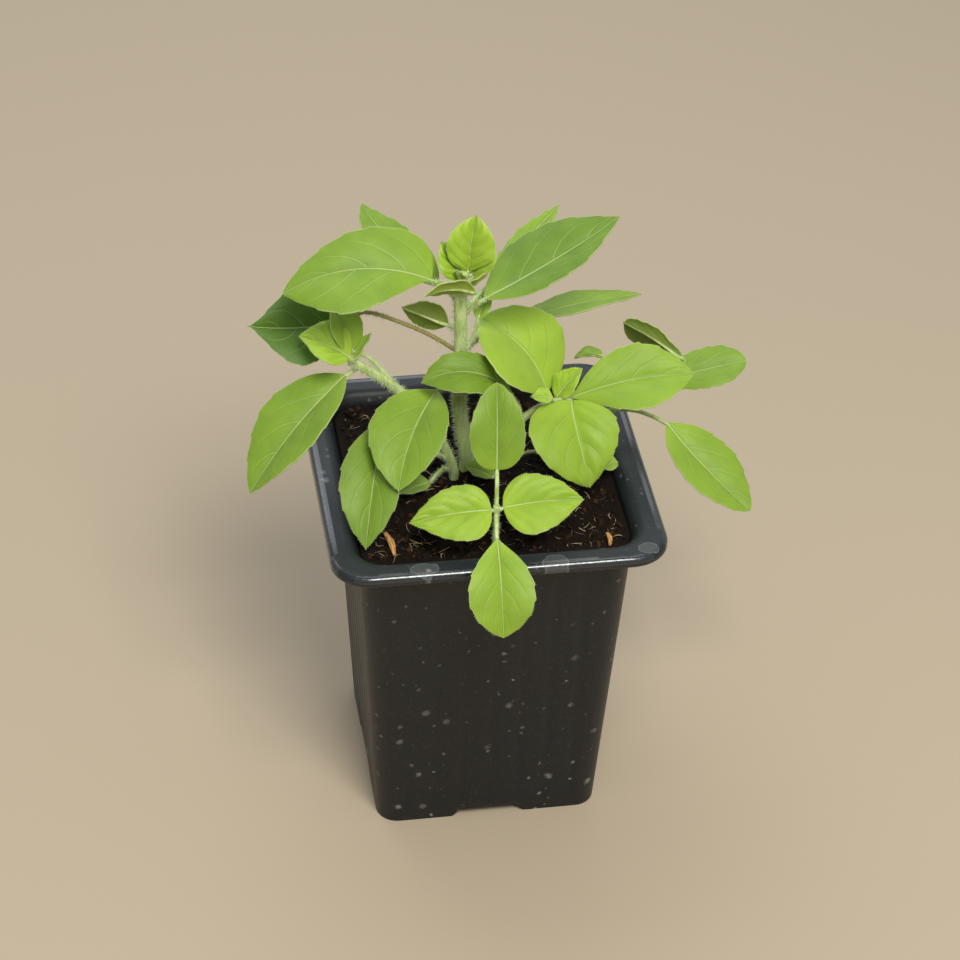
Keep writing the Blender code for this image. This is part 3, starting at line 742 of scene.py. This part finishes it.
def midrib(base, heading, rise, length, droop, sweep, roll, stations):
    """Places along the midrib, each with its directions ahead, across and up."""
    frames = []
    middle = Vector(base)
    tilt = math.radians(roll)
    for number in range(stations + 1):
        if number:
            step, _ = bend((number - 0.5) / stations, heading, rise, droop, sweep)
            middle = middle + step * length / stations
        ahead, side = bend(number / stations, heading, rise, droop, sweep)
        above = side.cross(ahead)
        frames.append((
            middle, ahead,
            side * math.cos(tilt) + above * math.sin(tilt),
            above * math.cos(tilt) - side * math.sin(tilt),
        ))
    return frames


# %% Leaf blade
ACROSS = (0.0, 0.07, 0.17, 0.29, 0.42, 0.56, 0.7, 0.82, 0.92, 0.975, 1.0)
THICK = 0.36


def blade(base, heading, rise, length, width, droop=20, roll=0, sweep=0, fold=15, left=1.0,
          right=1.0, widest=0.42, tip=1.0, skew=0.0, tone=0.5, veins=4, arch=0.5, bulge=0.09,
          teeth=7, bite=0.5, dome=0.06, wave=0.25, seed=1.0):
    """One leaf blade as a bmesh; also the points and directions of its margin, for hairs."""
    stations = max(18, min(64, round(length / 0.62)))
    steps = len(ACROSS) - 1
    frames = midrib(base, heading, rise, length, droop, sweep, roll, stations)
    bm = bmesh.new()
    bmesh.ops.create_grid(bm, x_segments=stations, y_segments=2 * steps, size=0.5)
    place_map = bm.loops.layers.float_vector.new("leaf_place")
    vein_map = bm.loops.layers.float_vector.new("leaf_veins")
    crease = math.radians(fold)
    margin = []

    def vein_phase(t, out, side):
        return veins * (t - arch * out ** 1.25) + (0.3 if side > 0 else 0.0)

    def half_width(t, side):
        whole = width / 2 * leaf_width(t, widest - skew * side, tip)
        whole *= right if side > 0 else left
        whole = math.hypot(whole, 0.42 * (1 - t) ** 2)
        climb = (t * teeth + seed + 0.37 * side) % 1.0
        size = bite * min(1.0, length / 30) * soft_step(t, 0.18, 0.35) * (1 - soft_step(t, 0.9, 0.99))
        return whole + size * (climb ** 1.5 - 0.4)

    for face in bm.faces:
        side = -1 if face.calc_center_median().y > 0 else 1
        for loop in face.loops:
            t = loop.vert.co.x + 0.5
            out = ACROSS[round(abs(loop.vert.co.y) * 2 * steps)]
            loop[vein_map] = (vein_phase(t, out, side), out * max(0.05, half_width(t, side)), out)
            loop[place_map] = (t, tone, seed)
    for vert in bm.verts:
        station = round((vert.co.x + 0.5) * stations)
        out = ACROSS[round(abs(vert.co.y) * 2 * steps)]
        side = -1 if vert.co.y > 0 else 1
        t = station / stations
        middle, ahead, across, above = frames[station]
        half = max(0.02, half_width(t, side))
        full = half * out
        lift = full * math.sin(crease)
        lift += half * dome * 4 * out * (1 - out)
        phase = vein_phase(t, out, side)
        near = abs(phase - round(phase))
        cushion = math.sin(math.pi * near) ** 1.4
        ends = soft_step(t, 0.0, 0.18) * (1 - soft_step(t, 0.82, 1.0))
        lift += bulge * cushion * ends * math.sin(math.pi * min(1.0, out * 1.02)) ** 0.7
        lift -= 0.30 * math.exp(-(full / 0.9) ** 2) * ends
        lift += wave * out ** 2 * math.sin(2 * math.pi * (2.3 * t + seed + 0.3 * side)) * ends
        vert.co = (middle + across * side * full * math.cos(crease) + above * lift) * MM
        if out == 1.0 and 0.05 < t:
            margin.append((vert.co / MM, (across * side + ahead * 0.5).normalized()))
    bmesh.ops.recalc_face_normals(bm, faces=bm.faces)
    if sum((face.normal for face in bm.faces), Vector()).dot(frames[stations // 2][3]) < 0:
        bmesh.ops.reverse_faces(bm, faces=bm.faces)
    tops = set(bm.faces)
    bmesh.ops.solidify(bm, geom=list(bm.faces), thickness=THICK * MM)
    for face in bm.faces:
        face.material_index = 0 if face in tops else 1
    return bm, margin

# %% [markdown]
# ## Stems and stalks
# Stems are a skin through rings along a curve. The rings are turned from one to the next as
# little as the bends allow, so that the four faint ridges of a basil stem don't twist.

# %% Stems
def smooth_path(points, steps=6):
    """A smooth curve through all the points of a path."""
    points = [Vector(point) for point in points]
    ends = [2 * points[0] - points[1], *points, 2 * points[-1] - points[-2]]
    path = [points[0]]
    for before, start, stop, after in zip(ends, ends[1:], ends[2:], ends[3:]):
        for step in range(1, steps + 1):
            t = step / steps
            path.append(0.5 * (
                2 * start
                + (stop - before) * t
                + (2 * before - 5 * start + 4 * stop - after) * t ** 2
                + (3 * start - before - 3 * stop + after) * t ** 3
            ))
    return path


def tube(path, radii, sides=12, ridge=0.0, brown=0.0):
    """A round body along a path, with a radius for each of its points and a brown cast."""
    rings = []
    side = None
    for number, (point, radius) in enumerate(zip(path, radii)):
        ahead = path[min(number + 1, len(path) - 1)] - path[max(number - 1, 0)]
        ahead.normalize()
        side = ahead.orthogonal() if side is None else side
        side = (side - ahead * side.dot(ahead)).normalized()
        other = ahead.cross(side)
        rings.append([
            point + (side * math.cos(turn) + other * math.sin(turn))
            * radius * (1 + ridge * math.cos(4 * turn))
            for turn in (2 * math.pi * step / sides for step in range(sides))
        ])
    bm = skin(rings)
    layer = bm.verts.layers.float.new("brown")
    for vert in bm.verts:
        vert[layer] = brown
    return bm


def hairs_along(path, radii, density, length, draw, start=0.0):
    """Hairs that stand off a stem: a place, an aim, a size and a tone each."""
    spots = []
    for before, after, radius in zip(path, path[1:], radii):
        ahead = (after - before)
        if before.z < start:
            continue
        for _ in range(round(density * ahead.length + draw.random())):
            way = random_way(draw)
            out = (way - ahead * way.dot(ahead) / max(1e-9, ahead.length_squared)).normalized()
            place = before.lerp(after, draw.random()) + out * radius * 0.93
            aim = out + ahead.normalized() * draw.uniform(-0.35, 0.5)
            spots.append((place, aim, (1, 1, length * draw.uniform(0.6, 1.25)), draw.random()))
    return spots

# %% [markdown]
# ## Plant materials
# Leaf green has two causes: what the surface reflects, and light that has passed through the
# blade and comes out yellower. The Principled shader's subsurface scattering gives the second,
# with a radius of about a millimetre. Young leaves are yellower than old ones, so each blade
# carries its tone; one leaf in the shade of another has a darker tone, which is painted shade.
# The veins are drawn paler than the tissue and sunk by the bump, the troughs beside them are
# darkened as painted shade, and the margin carries a painted highlight.

# %% Veins
def vein_masks(tree):
    """Where the side veins, the troughs along them and the midrib of a leaf are, from 0 to 1."""
    veins = add(tree, "ShaderNodeAttribute", attribute_name="leaf_veins").outputs["Vector"]
    veins = add(tree, "ShaderNodeSeparateXYZ", {"Vector": veins}).outputs
    place = add(tree, "ShaderNodeAttribute", attribute_name="leaf_place").outputs["Vector"]
    place = add(tree, "ShaderNodeSeparateXYZ", {"Vector": place}).outputs
    # Side veins: the phase is whole on each, and one step is 5 to 7 mm
    part = add(tree, "ShaderNodeMath", {0: veins["X"], 1: 0.5}, operation="ADD")
    part = add(tree, "ShaderNodeMath", {0: part}, operation="FRACT")
    part = add(tree, "ShaderNodeMath", {0: part, 1: 0.5}, operation="SUBTRACT")
    near = add(tree, "ShaderNodeMath", {0: part}, operation="ABSOLUTE")
    inner = add(tree, "ShaderNodeMapRange", {"Value": veins["Z"], "From Min": 0.92, "From Max": 0.55})
    first = add(tree, "ShaderNodeMapRange", {"Value": veins["X"], "From Min": -0.3, "From Max": 0.1})
    there = add(tree, "ShaderNodeMath", {0: inner, 1: first}, operation="MULTIPLY")
    masks = []
    for wide, narrow in ((0.03, 0.004), (0.16, 0.0)):
        mask = add(tree, "ShaderNodeMapRange", {
            "Value": near, "From Min": wide, "From Max": narrow,
        }, interpolation_type="SMOOTHSTEP")
        masks.append(add(tree, "ShaderNodeMath", {0: mask, 1: there}, operation="MULTIPLY"))
    line, trough = masks
    # The midrib: 0.5 mm wide at the base, and thin at the tip
    thin = add(tree, "ShaderNodeMapRange", {
        "Value": place["X"], "From Min": 0.0, "From Max": 1.0, "To Min": 0.5, "To Max": 0.14,
    })
    rib = add(tree, "ShaderNodeMapRange", {
        "Value": veins["Y"], "From Min": thin, "From Max": 0.05,
    }, interpolation_type="SMOOTHSTEP")
    return veins, place, line, trough, rib


# %% Leaf materials
def leaf_skin(name, young, old, vein, edge, sunk, rough):
    """Soft leaf tissue: yellow green to deep green, with pale veins, painted shade in the troughs
    beside them and a painted highlight along the margin.
    """
    material, tree, shader = new_material(name)
    where = add(tree, "ShaderNodeTexCoord").outputs["Object"]
    veins, place, line, trough, rib = vein_masks(tree)
    pale = add(tree, "ShaderNodeMath", {0: line, 1: 0.4}, operation="MULTIPLY")
    pale = add(tree, "ShaderNodeMath", {0: pale, 1: rib}, operation="MAXIMUM")
    # Colour: tone of the leaf, clouds of 6 mm, a yellower base
    cloud = add(tree, "ShaderNodeTexNoise", {"Vector": where, "Scale": 160.0, "Detail": 3.0})
    drift = add(tree, "ShaderNodeMapRange", {
        "Value": cloud, "From Min": 0.3, "From Max": 0.7, "To Min": -0.07, "To Max": 0.07,
    })
    foot = add(tree, "ShaderNodeMapRange", {
        "Value": place["X"], "From Min": 0.0, "From Max": 0.3, "To Min": -0.25, "To Max": 0.0,
    })
    tone = add(tree, "ShaderNodeMath", {0: place["Y"], 1: drift}, operation="ADD")
    tone = add(tree, "ShaderNodeMath", {0: tone, 1: foot}, operation="ADD", use_clamp=True)
    # Painted shade: the troughs beside the side veins are darkened towards the old green
    shade = add(tree, "ShaderNodeMath", {0: trough, 1: 0.1}, operation="MULTIPLY")
    strength = add(tree, "ShaderNodeMath", {0: pale, 1: 0.6}, operation="MULTIPLY")
    # Painted highlight: a pale line along the margin of every blade
    painted_margin_highlight = add(tree, "ShaderNodeMapRange", {
        "Value": veins["Z"], "From Min": 0.975, "From Max": 0.998, "To Max": 0.5,
    })
    layers = ((tone, old), (shade, old), (strength, vein), (painted_margin_highlight, edge))
    # Relief in millimetres: veins, a net of 1.3 mm cells and a skin grain of 0.4 mm
    cells = add(tree, "ShaderNodeTexVoronoi", {"Vector": where, "Scale": 760.0},
                feature="DISTANCE_TO_EDGE")
    net = add(tree, "ShaderNodeMapRange", {
        "Value": cells, "From Min": 0.0, "From Max": 0.25, "To Min": -0.014, "To Max": 0.0,
    })
    grain = add(tree, "ShaderNodeTexNoise", {"Vector": where, "Scale": 2600.0, "Detail": 2.0})
    grain = add(tree, "ShaderNodeMath", {0: grain, 1: 0.014}, operation="MULTIPLY")
    depth = add(tree, "ShaderNodeMath", {0: trough, 1: -0.06 * sunk}, operation="MULTIPLY")
    depth = add(tree, "ShaderNodeMath", {0: rib, 1: -0.22 * sunk, 2: depth}, operation="MULTIPLY_ADD")
    for finer in (net, grain):
        depth = add(tree, "ShaderNodeMath", {0: depth, 1: finer}, operation="ADD")
    gloss = add(tree, "ShaderNodeMapRange", {
        "Value": cloud, "To Min": rough - 0.05, "To Max": rough + 0.08,
    })
    tree.links.new(gloss.outputs[0], shader.inputs["Roughness"])
    complete(tree, shader, young, layers, depth, 1.0, MM, Subsurface_Weight=0.45,
             Subsurface_Radius=(0.7, 1.0, 0.15), Subsurface_Scale=1.1 * MM, IOR=1.42,
             Sheen_Weight=0.05)
    return material


# Colours: young and old green, the veins, and the margin's painted highlight; the old green also
# paints the shade in the troughs
upper = leaf_skin("leaf_upper_side", "#A8C63C", "#54761A", "#D6E69A", "#D4E49A", 1.0, 0.5)
lower = leaf_skin("leaf_underside", "#98AA3C", "#647424", "#B8C67C", "#CFDC98", -0.6, 0.6)


# %% Stem and hair materials
def stem_skin(name, pale, dark):
    """Juicy stem tissue: pale green with a brownish cast in streaks along it."""
    material, tree, shader = new_material(name)
    where = add(tree, "ShaderNodeTexCoord").outputs["Object"]
    brown = add(tree, "ShaderNodeAttribute", attribute_name="brown").outputs["Fac"]
    squeezed = add(tree, "ShaderNodeVectorMath", {0: where, 1: (1.0, 1.0, 0.15)}, operation="MULTIPLY")
    streak = add(tree, "ShaderNodeTexNoise", {"Vector": squeezed, "Scale": 900.0, "Detail": 3.0})
    cloud = add(tree, "ShaderNodeTexNoise", {"Vector": where, "Scale": 90.0, "Detail": 2.0})
    both = add(tree, "ShaderNodeMath", {0: streak, 1: cloud}, operation="MULTIPLY")
    share = add(tree, "ShaderNodeMapRange", {"Value": both, "From Min": 0.14, "From Max": 0.38})
    complete(tree, shader, pale, ((share, dark), (brown, "#8F7C3C")), streak, 0.5, 0.2 * MM,
             Roughness=0.5, Subsurface_Weight=0.35, Subsurface_Radius=(0.8, 1.0, 0.3),
             Subsurface_Scale=MM)
    return material


def hair_skin():
    """Plant hairs: clear cells that look white in the light, a little greener at some."""
    material, tree, shader = new_material("plant_hair")
    tone = add(tree, "ShaderNodeAttribute", attribute_name="tone").outputs["Fac"]
    colour = add(tree, "ShaderNodeMix", {
        "Factor": tone, "A": linear("#DDE8B8"), "B": linear("#F4F7E4"),
    }, data_type="RGBA")
    tree.links.new(colour.outputs[2], shader.inputs["Base Color"])
    shader.inputs["Roughness"].default_value = 0.4
    shader.inputs["Subsurface Weight"].default_value = 0.3
    shader.inputs["Subsurface Scale"].default_value = 0.0003
    return material


green_stem = stem_skin("green_stem", "#D2E29C", "#97AC50")
hair_material = hair_skin()
print("plant materials:", [item.name for item in (upper, lower, green_stem, hair_material)])

# %% [markdown]
# ## Shoots
# Each shoot is written as its stem's path and a row of leaves, with the same places and sizes
# as in the CAD, in millimetres and degrees. A leaf is its stalk's path, where the blade
# starts, its heading, rise, length and width, and what shapes it.

# %% Build a shoot
# The usual radius of a stalk, and the height from which stems and stalks are hairy
PETIOLE, HAIRY_STEM, HAIRY_STALK = 0.62, 98.0, 97.0


def collect(whole, part):
    """Add one bmesh to another."""
    mesh = bpy.data.meshes.new("part")
    part.to_mesh(mesh)
    part.free()
    whole.from_mesh(mesh)
    bpy.data.meshes.remove(mesh)


def hair_shape():
    """A hair one unit long: a three-sided spike 0.12 mm thick, as coarse as it needs to show."""
    bm = bmesh.new()
    bmesh.ops.create_cone(
        bm, cap_ends=True, segments=3, radius1=0.06, radius2=0.0, depth=1.0,
        matrix=Matrix.Translation((0, 0, 0.5)),
    )
    return object_from(bm, "hair")


def inside_box(spot):
    """Whether a hair stays inside the box of the CAD model."""
    place, aim, grow, _ = spot
    ends = (place * MM, (place + aim.normalized() * grow[2]) * MM)
    return all(
        low <= value <= high for end in ends for low, value, high in zip(cad_box[0], end, cad_box[1])
    )


def build_shoot(name, stem, radii, leaves, fuzz=8.0, fuzz_length=0.8):
    """Make a shoot's leaves, stems and hairs, and let them stand for its CAD node."""
    draw = random.Random(name)
    blades, stems, spots = bmesh.new(), bmesh.new(), []
    path = smooth_path(stem)
    count = len(path) - 1
    thick = [radii[0] + (radii[1] - radii[0]) * number / count for number in range(count + 1)]
    collect(stems, tube(path, thick, 20, 0.07))
    spots += hairs_along(path, thick, fuzz, fuzz_length, draw, HAIRY_STEM)
    for number, (stalk, base, heading, rise, length, width, shape) in enumerate(leaves):
        shape = dict(shape)
        radius = shape.pop("radius", PETIOLE)
        brown = shape.pop("brown", 0.0)
        shape.setdefault("seed", draw.random())
        part, margin = blade(base, heading, rise, length, width, **shape)
        collect(blades, part)
        for place, aim in margin:
            aim = aim + random_way(draw) * 0.3
            spots.append((place, aim, (0.7, 0.7, draw.uniform(0.25, 0.55)), draw.random()))
        frames = midrib(base, heading, rise, length, shape.get("droop", 20), shape.get("sweep", 0),
                        shape.get("roll", 0), 20)
        under = [
            frames[step][0] - frames[step][3] * (radius * share + THICK * 0.9 + 0.1)
            for step, share in ((3, 0.55), (7, 0.4), (12, 0.25), (17, 0.1))
        ]
        way = smooth_path([*stalk, Vector(base) - frames[0][3] * radius * 0.6, *under], 4)
        knee = 4 * len(stalk)
        sizes = [
            radius * (1 - 0.15 * step / knee) if step <= knee
            else radius * (0.85 - 0.75 * (step - knee) / (len(way) - 1 - knee))
            for step in range(len(way))
        ]
        collect(stems, tube(way, sizes, 10, brown=brown))
        spots += hairs_along(way[:knee + 2], sizes, fuzz * 0.6, fuzz_length * 0.7, draw, HAIRY_STALK)
    foliage = object_from(blades, f"{name}_leaves", upper, lower)
    place_piece(foliage, "basil_green", name)
    stalks = object_from(stems, f"{name}_stems", green_stem)
    place_piece(stalks, "basil_green", name)
    hair = hair_shape()
    spots = [spot for spot in spots if inside_box(spot)]
    fuzz_piece = scatter(f"{name}_hairs", hair, spots, hair_material)
    place_piece(fuzz_piece, "basil_green", name)
    bpy.data.objects.remove(hair)


def foot(name):
    """The straight foot of a stem, which stands in its hole."""
    x, y = STEMS[name][0]
    return [(x, y, height) for height in (83.3, 90, 96, 98.5)]

# %% [markdown]
# The tall stem carries the large leaves and a bud: a few small folded leaves that stand
# around each other at the tip.

# %% Main shoot
build_shoot(
    "main_shoot",
    [*foot("main"), (-3.8, 5.5, 107), (-5, 6, 118), (-5, 6, 136), (-5.5, 6, 154), (-4.8, 6, 159.5)],
    (2.5, 1.6),
    [
        ([(-5.3, 5.8, 150), (-8.5, 4, 156.5)], (-13.6, 2, 160.2), 178, -3, 41.5, 24,
         dict(droop=66, roll=27, fold=6, left=1.12, skew=0.14, tone=0.6)),
        ([(-5, 6, 145), (-2.2, 5, 149)], (0.5, 4, 152), 15, 23, 42, 21,
         dict(droop=-10, roll=-8, fold=5, widest=0.46, left=1.15, right=0.75, tone=0.8)),
        ([(-5.3, 6, 149), (-8, 8, 152)], (-11, 10, 153.5), 128, 23, 31.5, 18,
         dict(roll=-10, sweep=-40, left=1.15, right=0.8, widest=0.36, tone=0.65)),
        ([(-5.2, 6, 146), (-1, 9, 149)], (3.5, 12, 151), 42, 21, 31, 12,
         dict(droop=15, left=0.6)),
        ([(-5.3, 6, 152), (-4, 3.5, 154.5)], (-2.3, 2, 155.7), -158, 14, 16.5, 7,
         dict(droop=50, roll=-62, fold=5, widest=0.5)),
        ([(-5, 6, 133), (1.5, 14.5, 132.5)], (10.6, 25.5, 128.1), 4, 8, 38.5, 14,
         dict(droop=20, roll=12, fold=5, widest=0.5, tone=0.6)),
        ([(-5, 6, 137.5), (-6, 8, 139.5)], (-8, 9.6, 140.6), 172, 24, 13.5, 7.3,
         dict(droop=0, roll=-92, left=1.2, right=1.2, tone=0.8)),
        # This leaf's high tone of 1.1 is painted shade: it lies in the shadow of the large leaf above
        # it
        ([(-5, 6, 133.5), (-12, 7.2, 138.5), (-21, 8.5, 143.2), (-30, 12, 144.8)],
         (-34.5, 14, 140.5), 180, 2, 26.5, 22,
         dict(droop=-20, roll=45, widest=0.47, tip=1.6, tone=1.1, brown=0.9)),
        ([(-5, 6, 120), (-8, 3.5, 124)], (-12, 1, 125.5), -118, -25, 32, 21,
         dict(droop=30, sweep=22, widest=0.48, tip=0.9, left=0.95, right=1.1, tone=0.55)),
        ([(-5, 6, 133), (-2.2, 6, 137)], (-0.6, 6.4, 144), 50, 42, 9, 5, dict(tone=0.4, veins=3)),
        ([(-5, 6, 158)], (-3.4, 6.4, 159.6), 40, 81, 16, 14,
         dict(droop=14, roll=-40, fold=24, widest=0.5, tip=0.75, tone=0.1, bulge=0.75)),
        ([(-5, 6, 157)], (-2.4, 6.6, 158.2), 12, 70, 12.5, 10,
         dict(droop=-14, roll=-50, fold=24, widest=0.45, tip=0.8, tone=0.1, bulge=0.75)),
        ([(-5, 6, 157)], (-4.6, 6.4, 157.8), 158, 58, 11.5, 10,
         dict(droop=-14, roll=50, fold=24, widest=0.45, tip=0.8, tone=0.1, bulge=0.75)),
        ([(-5, 6, 155)], (-3.4, 5, 156.2), -35, 48, 7.5, 6,
         dict(droop=-20, fold=20, tone=0.1, bulge=0.3, veins=3)),
        ([(-5, 6, 156)], (-5.6, 5, 157.6), -120, 62, 5.5, 3.5,
         dict(droop=-20, fold=20, tone=0.1, bulge=0.2, veins=3)),
    ],
    fuzz=34.0, fuzz_length=1.25,
)

# %% [markdown]
# This stem arches out to the left, with two hanging leaves and a young pair at its end.

# %% Left shoot
build_shoot(
    "left_shoot",
    [*foot("left"), (-9.3, 3, 105), (-14, 4.6, 113.5), (-22, 5, 124), (-34, 4, 134.6)],
    (1.4, 1.25),
    [
        ([(-32, 4.2, 133)], (-36, 4, 130.5), -150, -38, 41, 22,
         dict(droop=30, widest=0.45, tone=0.6)),
        ([(-20, 5, 122), (-23.8, 2.8, 121.6)], (-26.3, 0.2, 118.4), -106, -33, 38, 18,
         dict(droop=40, widest=0.52, left=0.9, tone=0.65)),
        ([(-33, 4, 133.7)], (-35, 2, 137.5), 168, 24, 15, 14,
         dict(droop=30, roll=20, tone=0.15, bulge=0.8)),
        ([(-22, 5.2, 124.5), (-29, 6.8, 133.2)], (-34, 5, 137.7), 130, 55, 14, 11,
         dict(tone=0.35)),
        ([(-33, 4, 133.8)], (-35.3, 3, 134.7), 35, 40, 10, 5,
         dict(droop=-20, fold=40, tone=0.3)),
        ([(-6.8, 1.2, 98), (-10.5, -1.6, 101)], (-14.4, -5, 99.6), -165, -8, 9.5, 8,
         dict(tone=0.6, veins=3)),
        ([(-7, 1.3, 99), (-10.5, 1.6, 103.5)], (-15.4, 1.4, 102.2), 170, -10, 11, 8,
         dict(veins=3)),
    ],
    fuzz=30.0, fuzz_length=1.3,
)

# %% [markdown]
# A short stem whose leaves lie close together, with a young pair in their middle.

# %% Right shoot
build_shoot(
    "right_shoot",
    [*foot("right"), (5.4, 0.6, 105), (9, 0.4, 111.5), (13.3, 0, 116.5), (19.3, 2, 118.5)],
    (1.1, 0.9),
    [
        ([(11, 0.2, 114), (10, -1.6, 120)], (7.7, -3, 125.5), 178, 12, 28, 14,
         dict(droop=95, roll=25, widest=0.55, left=1.15, right=0.8, tone=0.65, brown=0.5)),
        ([(16.5, 1.2, 117.5)], (18.6, 4.6, 119.6), 150, 43, 29.2, 24.5,
         dict(droop=70, roll=5, left=1.6, right=1.12, widest=0.5, tip=0.9, skew=0.06, tone=0.15)),
        ([(18.2, 1.7, 117.8), (19, -1.6, 121)], (18.4, -4.5, 124.4), 180, 10, 6, 5,
         dict(roll=20, radius=0.4, tone=0.1, veins=3)),
        ([(18.6, 1.8, 118)], (20.7, 2, 119.4), 10, 50, 11, 8,
         dict(roll=-20, radius=0.4, tone=0.1, bulge=0.35, bite=0.8, teeth=4)),
        ([(18.5, 1.8, 118)], (24.7, 3, 118.3), -2, 10, 34.5, 20,
         dict(droop=30, roll=-28, widest=0.55, left=0.95, right=1.08, tone=0.4)),
        ([(17.5, 1.4, 117.7), (21, 0.4, 120)], (24.2, -1, 120.6), -79, -42, 25.5, 24,
         dict(droop=60, sweep=30, left=0.92, right=1.22, tone=0.3, bite=0.6, bulge=0.8)),
        ([(3, 0.5, 98), (11.3, -0.8, 103.5), (17, -1.3, 104.3), (24, -3, 103)],
         (29.5, -4.6, 100.8), 12, -6, 8.4, 8.2,
         dict(droop=10, roll=-5, left=1.15, widest=0.55, tip=0.8, radius=0.45, tone=0.2)),
        ([(3, 0.5, 97.8), (3.8, -2.6, 99)], (3, -4.4, 99.2), 150, 12, 8.5, 8,
         dict(radius=0.5, veins=3)),
    ],
    fuzz=10.0, fuzz_length=0.8,
)

# %% [markdown]
# Its stem leans far out, so that its leaves hang over the pot's right wall.

# %% Side shoot
build_shoot(
    "side_shoot",
    [*foot("side"), (28, 12.2, 103), (34.6, 12.5, 107.5), (43, 15.5, 110.5), (52, 18, 112)],
    (1.1, 0.8),
    [
        ([(49, 17.2, 111.6)], (51.6, 18, 110.4), -3, 14, 26, 13,
         dict(droop=10, roll=-25, fold=5, widest=0.6, tip=0.6, tone=0.6)),
        ([(50, 17.6, 111.6), (56, 18, 114.5)], (59.6, 18, 117.3), 150, 23, 20, 13,
         dict(roll=-85, widest=0.66, tip=0.5, left=0.5, right=1.15, tone=0.8)),
        ([(32, 12.2, 105), (35, 16, 113)], (37, 20, 119), 178, 0, 9, 4,
         dict(droop=90, roll=10, tone=0.6, veins=3)),
        ([(31, 12.2, 104), (37.5, 11, 107.2), (45, 9, 107.8)], (53, 6, 105), -44, -31, 33, 17,
         dict(droop=5, sweep=20, roll=-8, fold=8, widest=0.5, tip=0.75, left=1.12)),
    ],
)

# %% [markdown]
# The smallest shoot has two pairs of leaves in a cross, low over the front of the soil.

# %% Front shoot
build_shoot(
    "front_shoot",
    [*foot("front")[:2], (-0.4, -30, 98), (-0.4, -30, 104), (-0.4, -30, 109.5)],
    (1.0, 0.9),
    [
        ([(-0.4, -30, 108)], (-1.7, -30.5, 108.6), 180, -6, 22, 17,
         dict(roll=28, widest=0.34, left=1.15, right=0.85, tone=0.25, bulge=0.9)),
        ([(-0.4, -30, 108)], (1.3, -30, 108.6), -5, 6, 21.5, 17.5,
         dict(roll=-28, widest=0.36, left=0.88, right=1.22, tone=0.25, bulge=0.9)),
        ([(-0.4, -30, 107.5), (0, -27.5, 113)], (0.3, -25, 117.4), 84, 62, 23.5, 15,
         dict(droop=34, tip=0.7, tone=0.6)),
        ([(-0.4, -30, 107), (-1.2, -35, 108)], (-1.9, -40.5, 107), -92, -46, 27, 17.5,
         dict(droop=56, right=1.06, widest=0.57, tip=0.9, tone=0.4)),
    ],
)

# %% [markdown]
# ## Slivers of bark
# Two splinters of bark lie in the soil. Each is a block drawn out along its length, split into
# strips and roughened, with ragged ends.

# %% Bark slivers
def bark_skin():
    """Split bark: orange brown fibres along the grain, darker in the splits."""
    material, tree, shader = new_material("split_bark")
    where = add(tree, "ShaderNodeTexCoord").outputs["Object"]
    along = add(tree, "ShaderNodeVectorMath", {0: where, 1: (1.0, 0.12, 1.0)}, operation="MULTIPLY")
    fibres = add(tree, "ShaderNodeTexNoise", {"Vector": along, "Scale": 2600.0, "Detail": 4.0})
    share = add(tree, "ShaderNodeMapRange", {"Value": fibres, "From Min": 0.32, "From Max": 0.62})
    complete(tree, shader, "#6E4420", [(share, "#DDA55E")], fibres, 0.8, 0.3 * MM, Roughness=0.75)
    return material


split_bark = bark_skin()
for node, start, end, width, height in (
    ("bark_sliver_left", (-29, -22.4, 97.3), (-27.6, -32.8, 97.3), 1.6, 1.1),
    ("bark_sliver_right", (29.7, -29.4, 97.0), (29.5, -35.2, 97.0), 1.2, 0.9),
):
    start, along = Vector(start), Vector(end) - Vector(start)
    across = Vector((-along.y, along.x, 0.0)).normalized()
    bm = bmesh.new()
    bmesh.ops.create_cube(bm, size=1.0)
    bmesh.ops.subdivide_edges(bm, edges=bm.edges, cuts=11, use_grid_fill=True)
    for vert in bm.verts:
        share = vert.co.x + 0.5
        taper = 1.0 - 0.6 * abs(2 * share - 1) ** 2
        ragged = noise.noise(Vector((vert.co.y * 9, vert.co.z * 9, width))) * 0.05
        split = 0.22 * noise.noise(Vector((share * 2, vert.co.y * 7, vert.co.z * 7)))
        shift = across * (vert.co.y * width * taper + 0.4 * math.sin(math.pi * share) + split * 0.4)
        place = start + along * (share * 0.95 + 0.025 + ragged * abs(2 * share - 1)) + shift
        place.z += (vert.co.z + 0.5) * height * taper + split * 0.5
        vert.co = place * MM
    bmesh.ops.recalc_face_normals(bm, faces=bm.faces)
    place_piece(object_from(bm, f"{node}_piece", split_bark), "bark", node)
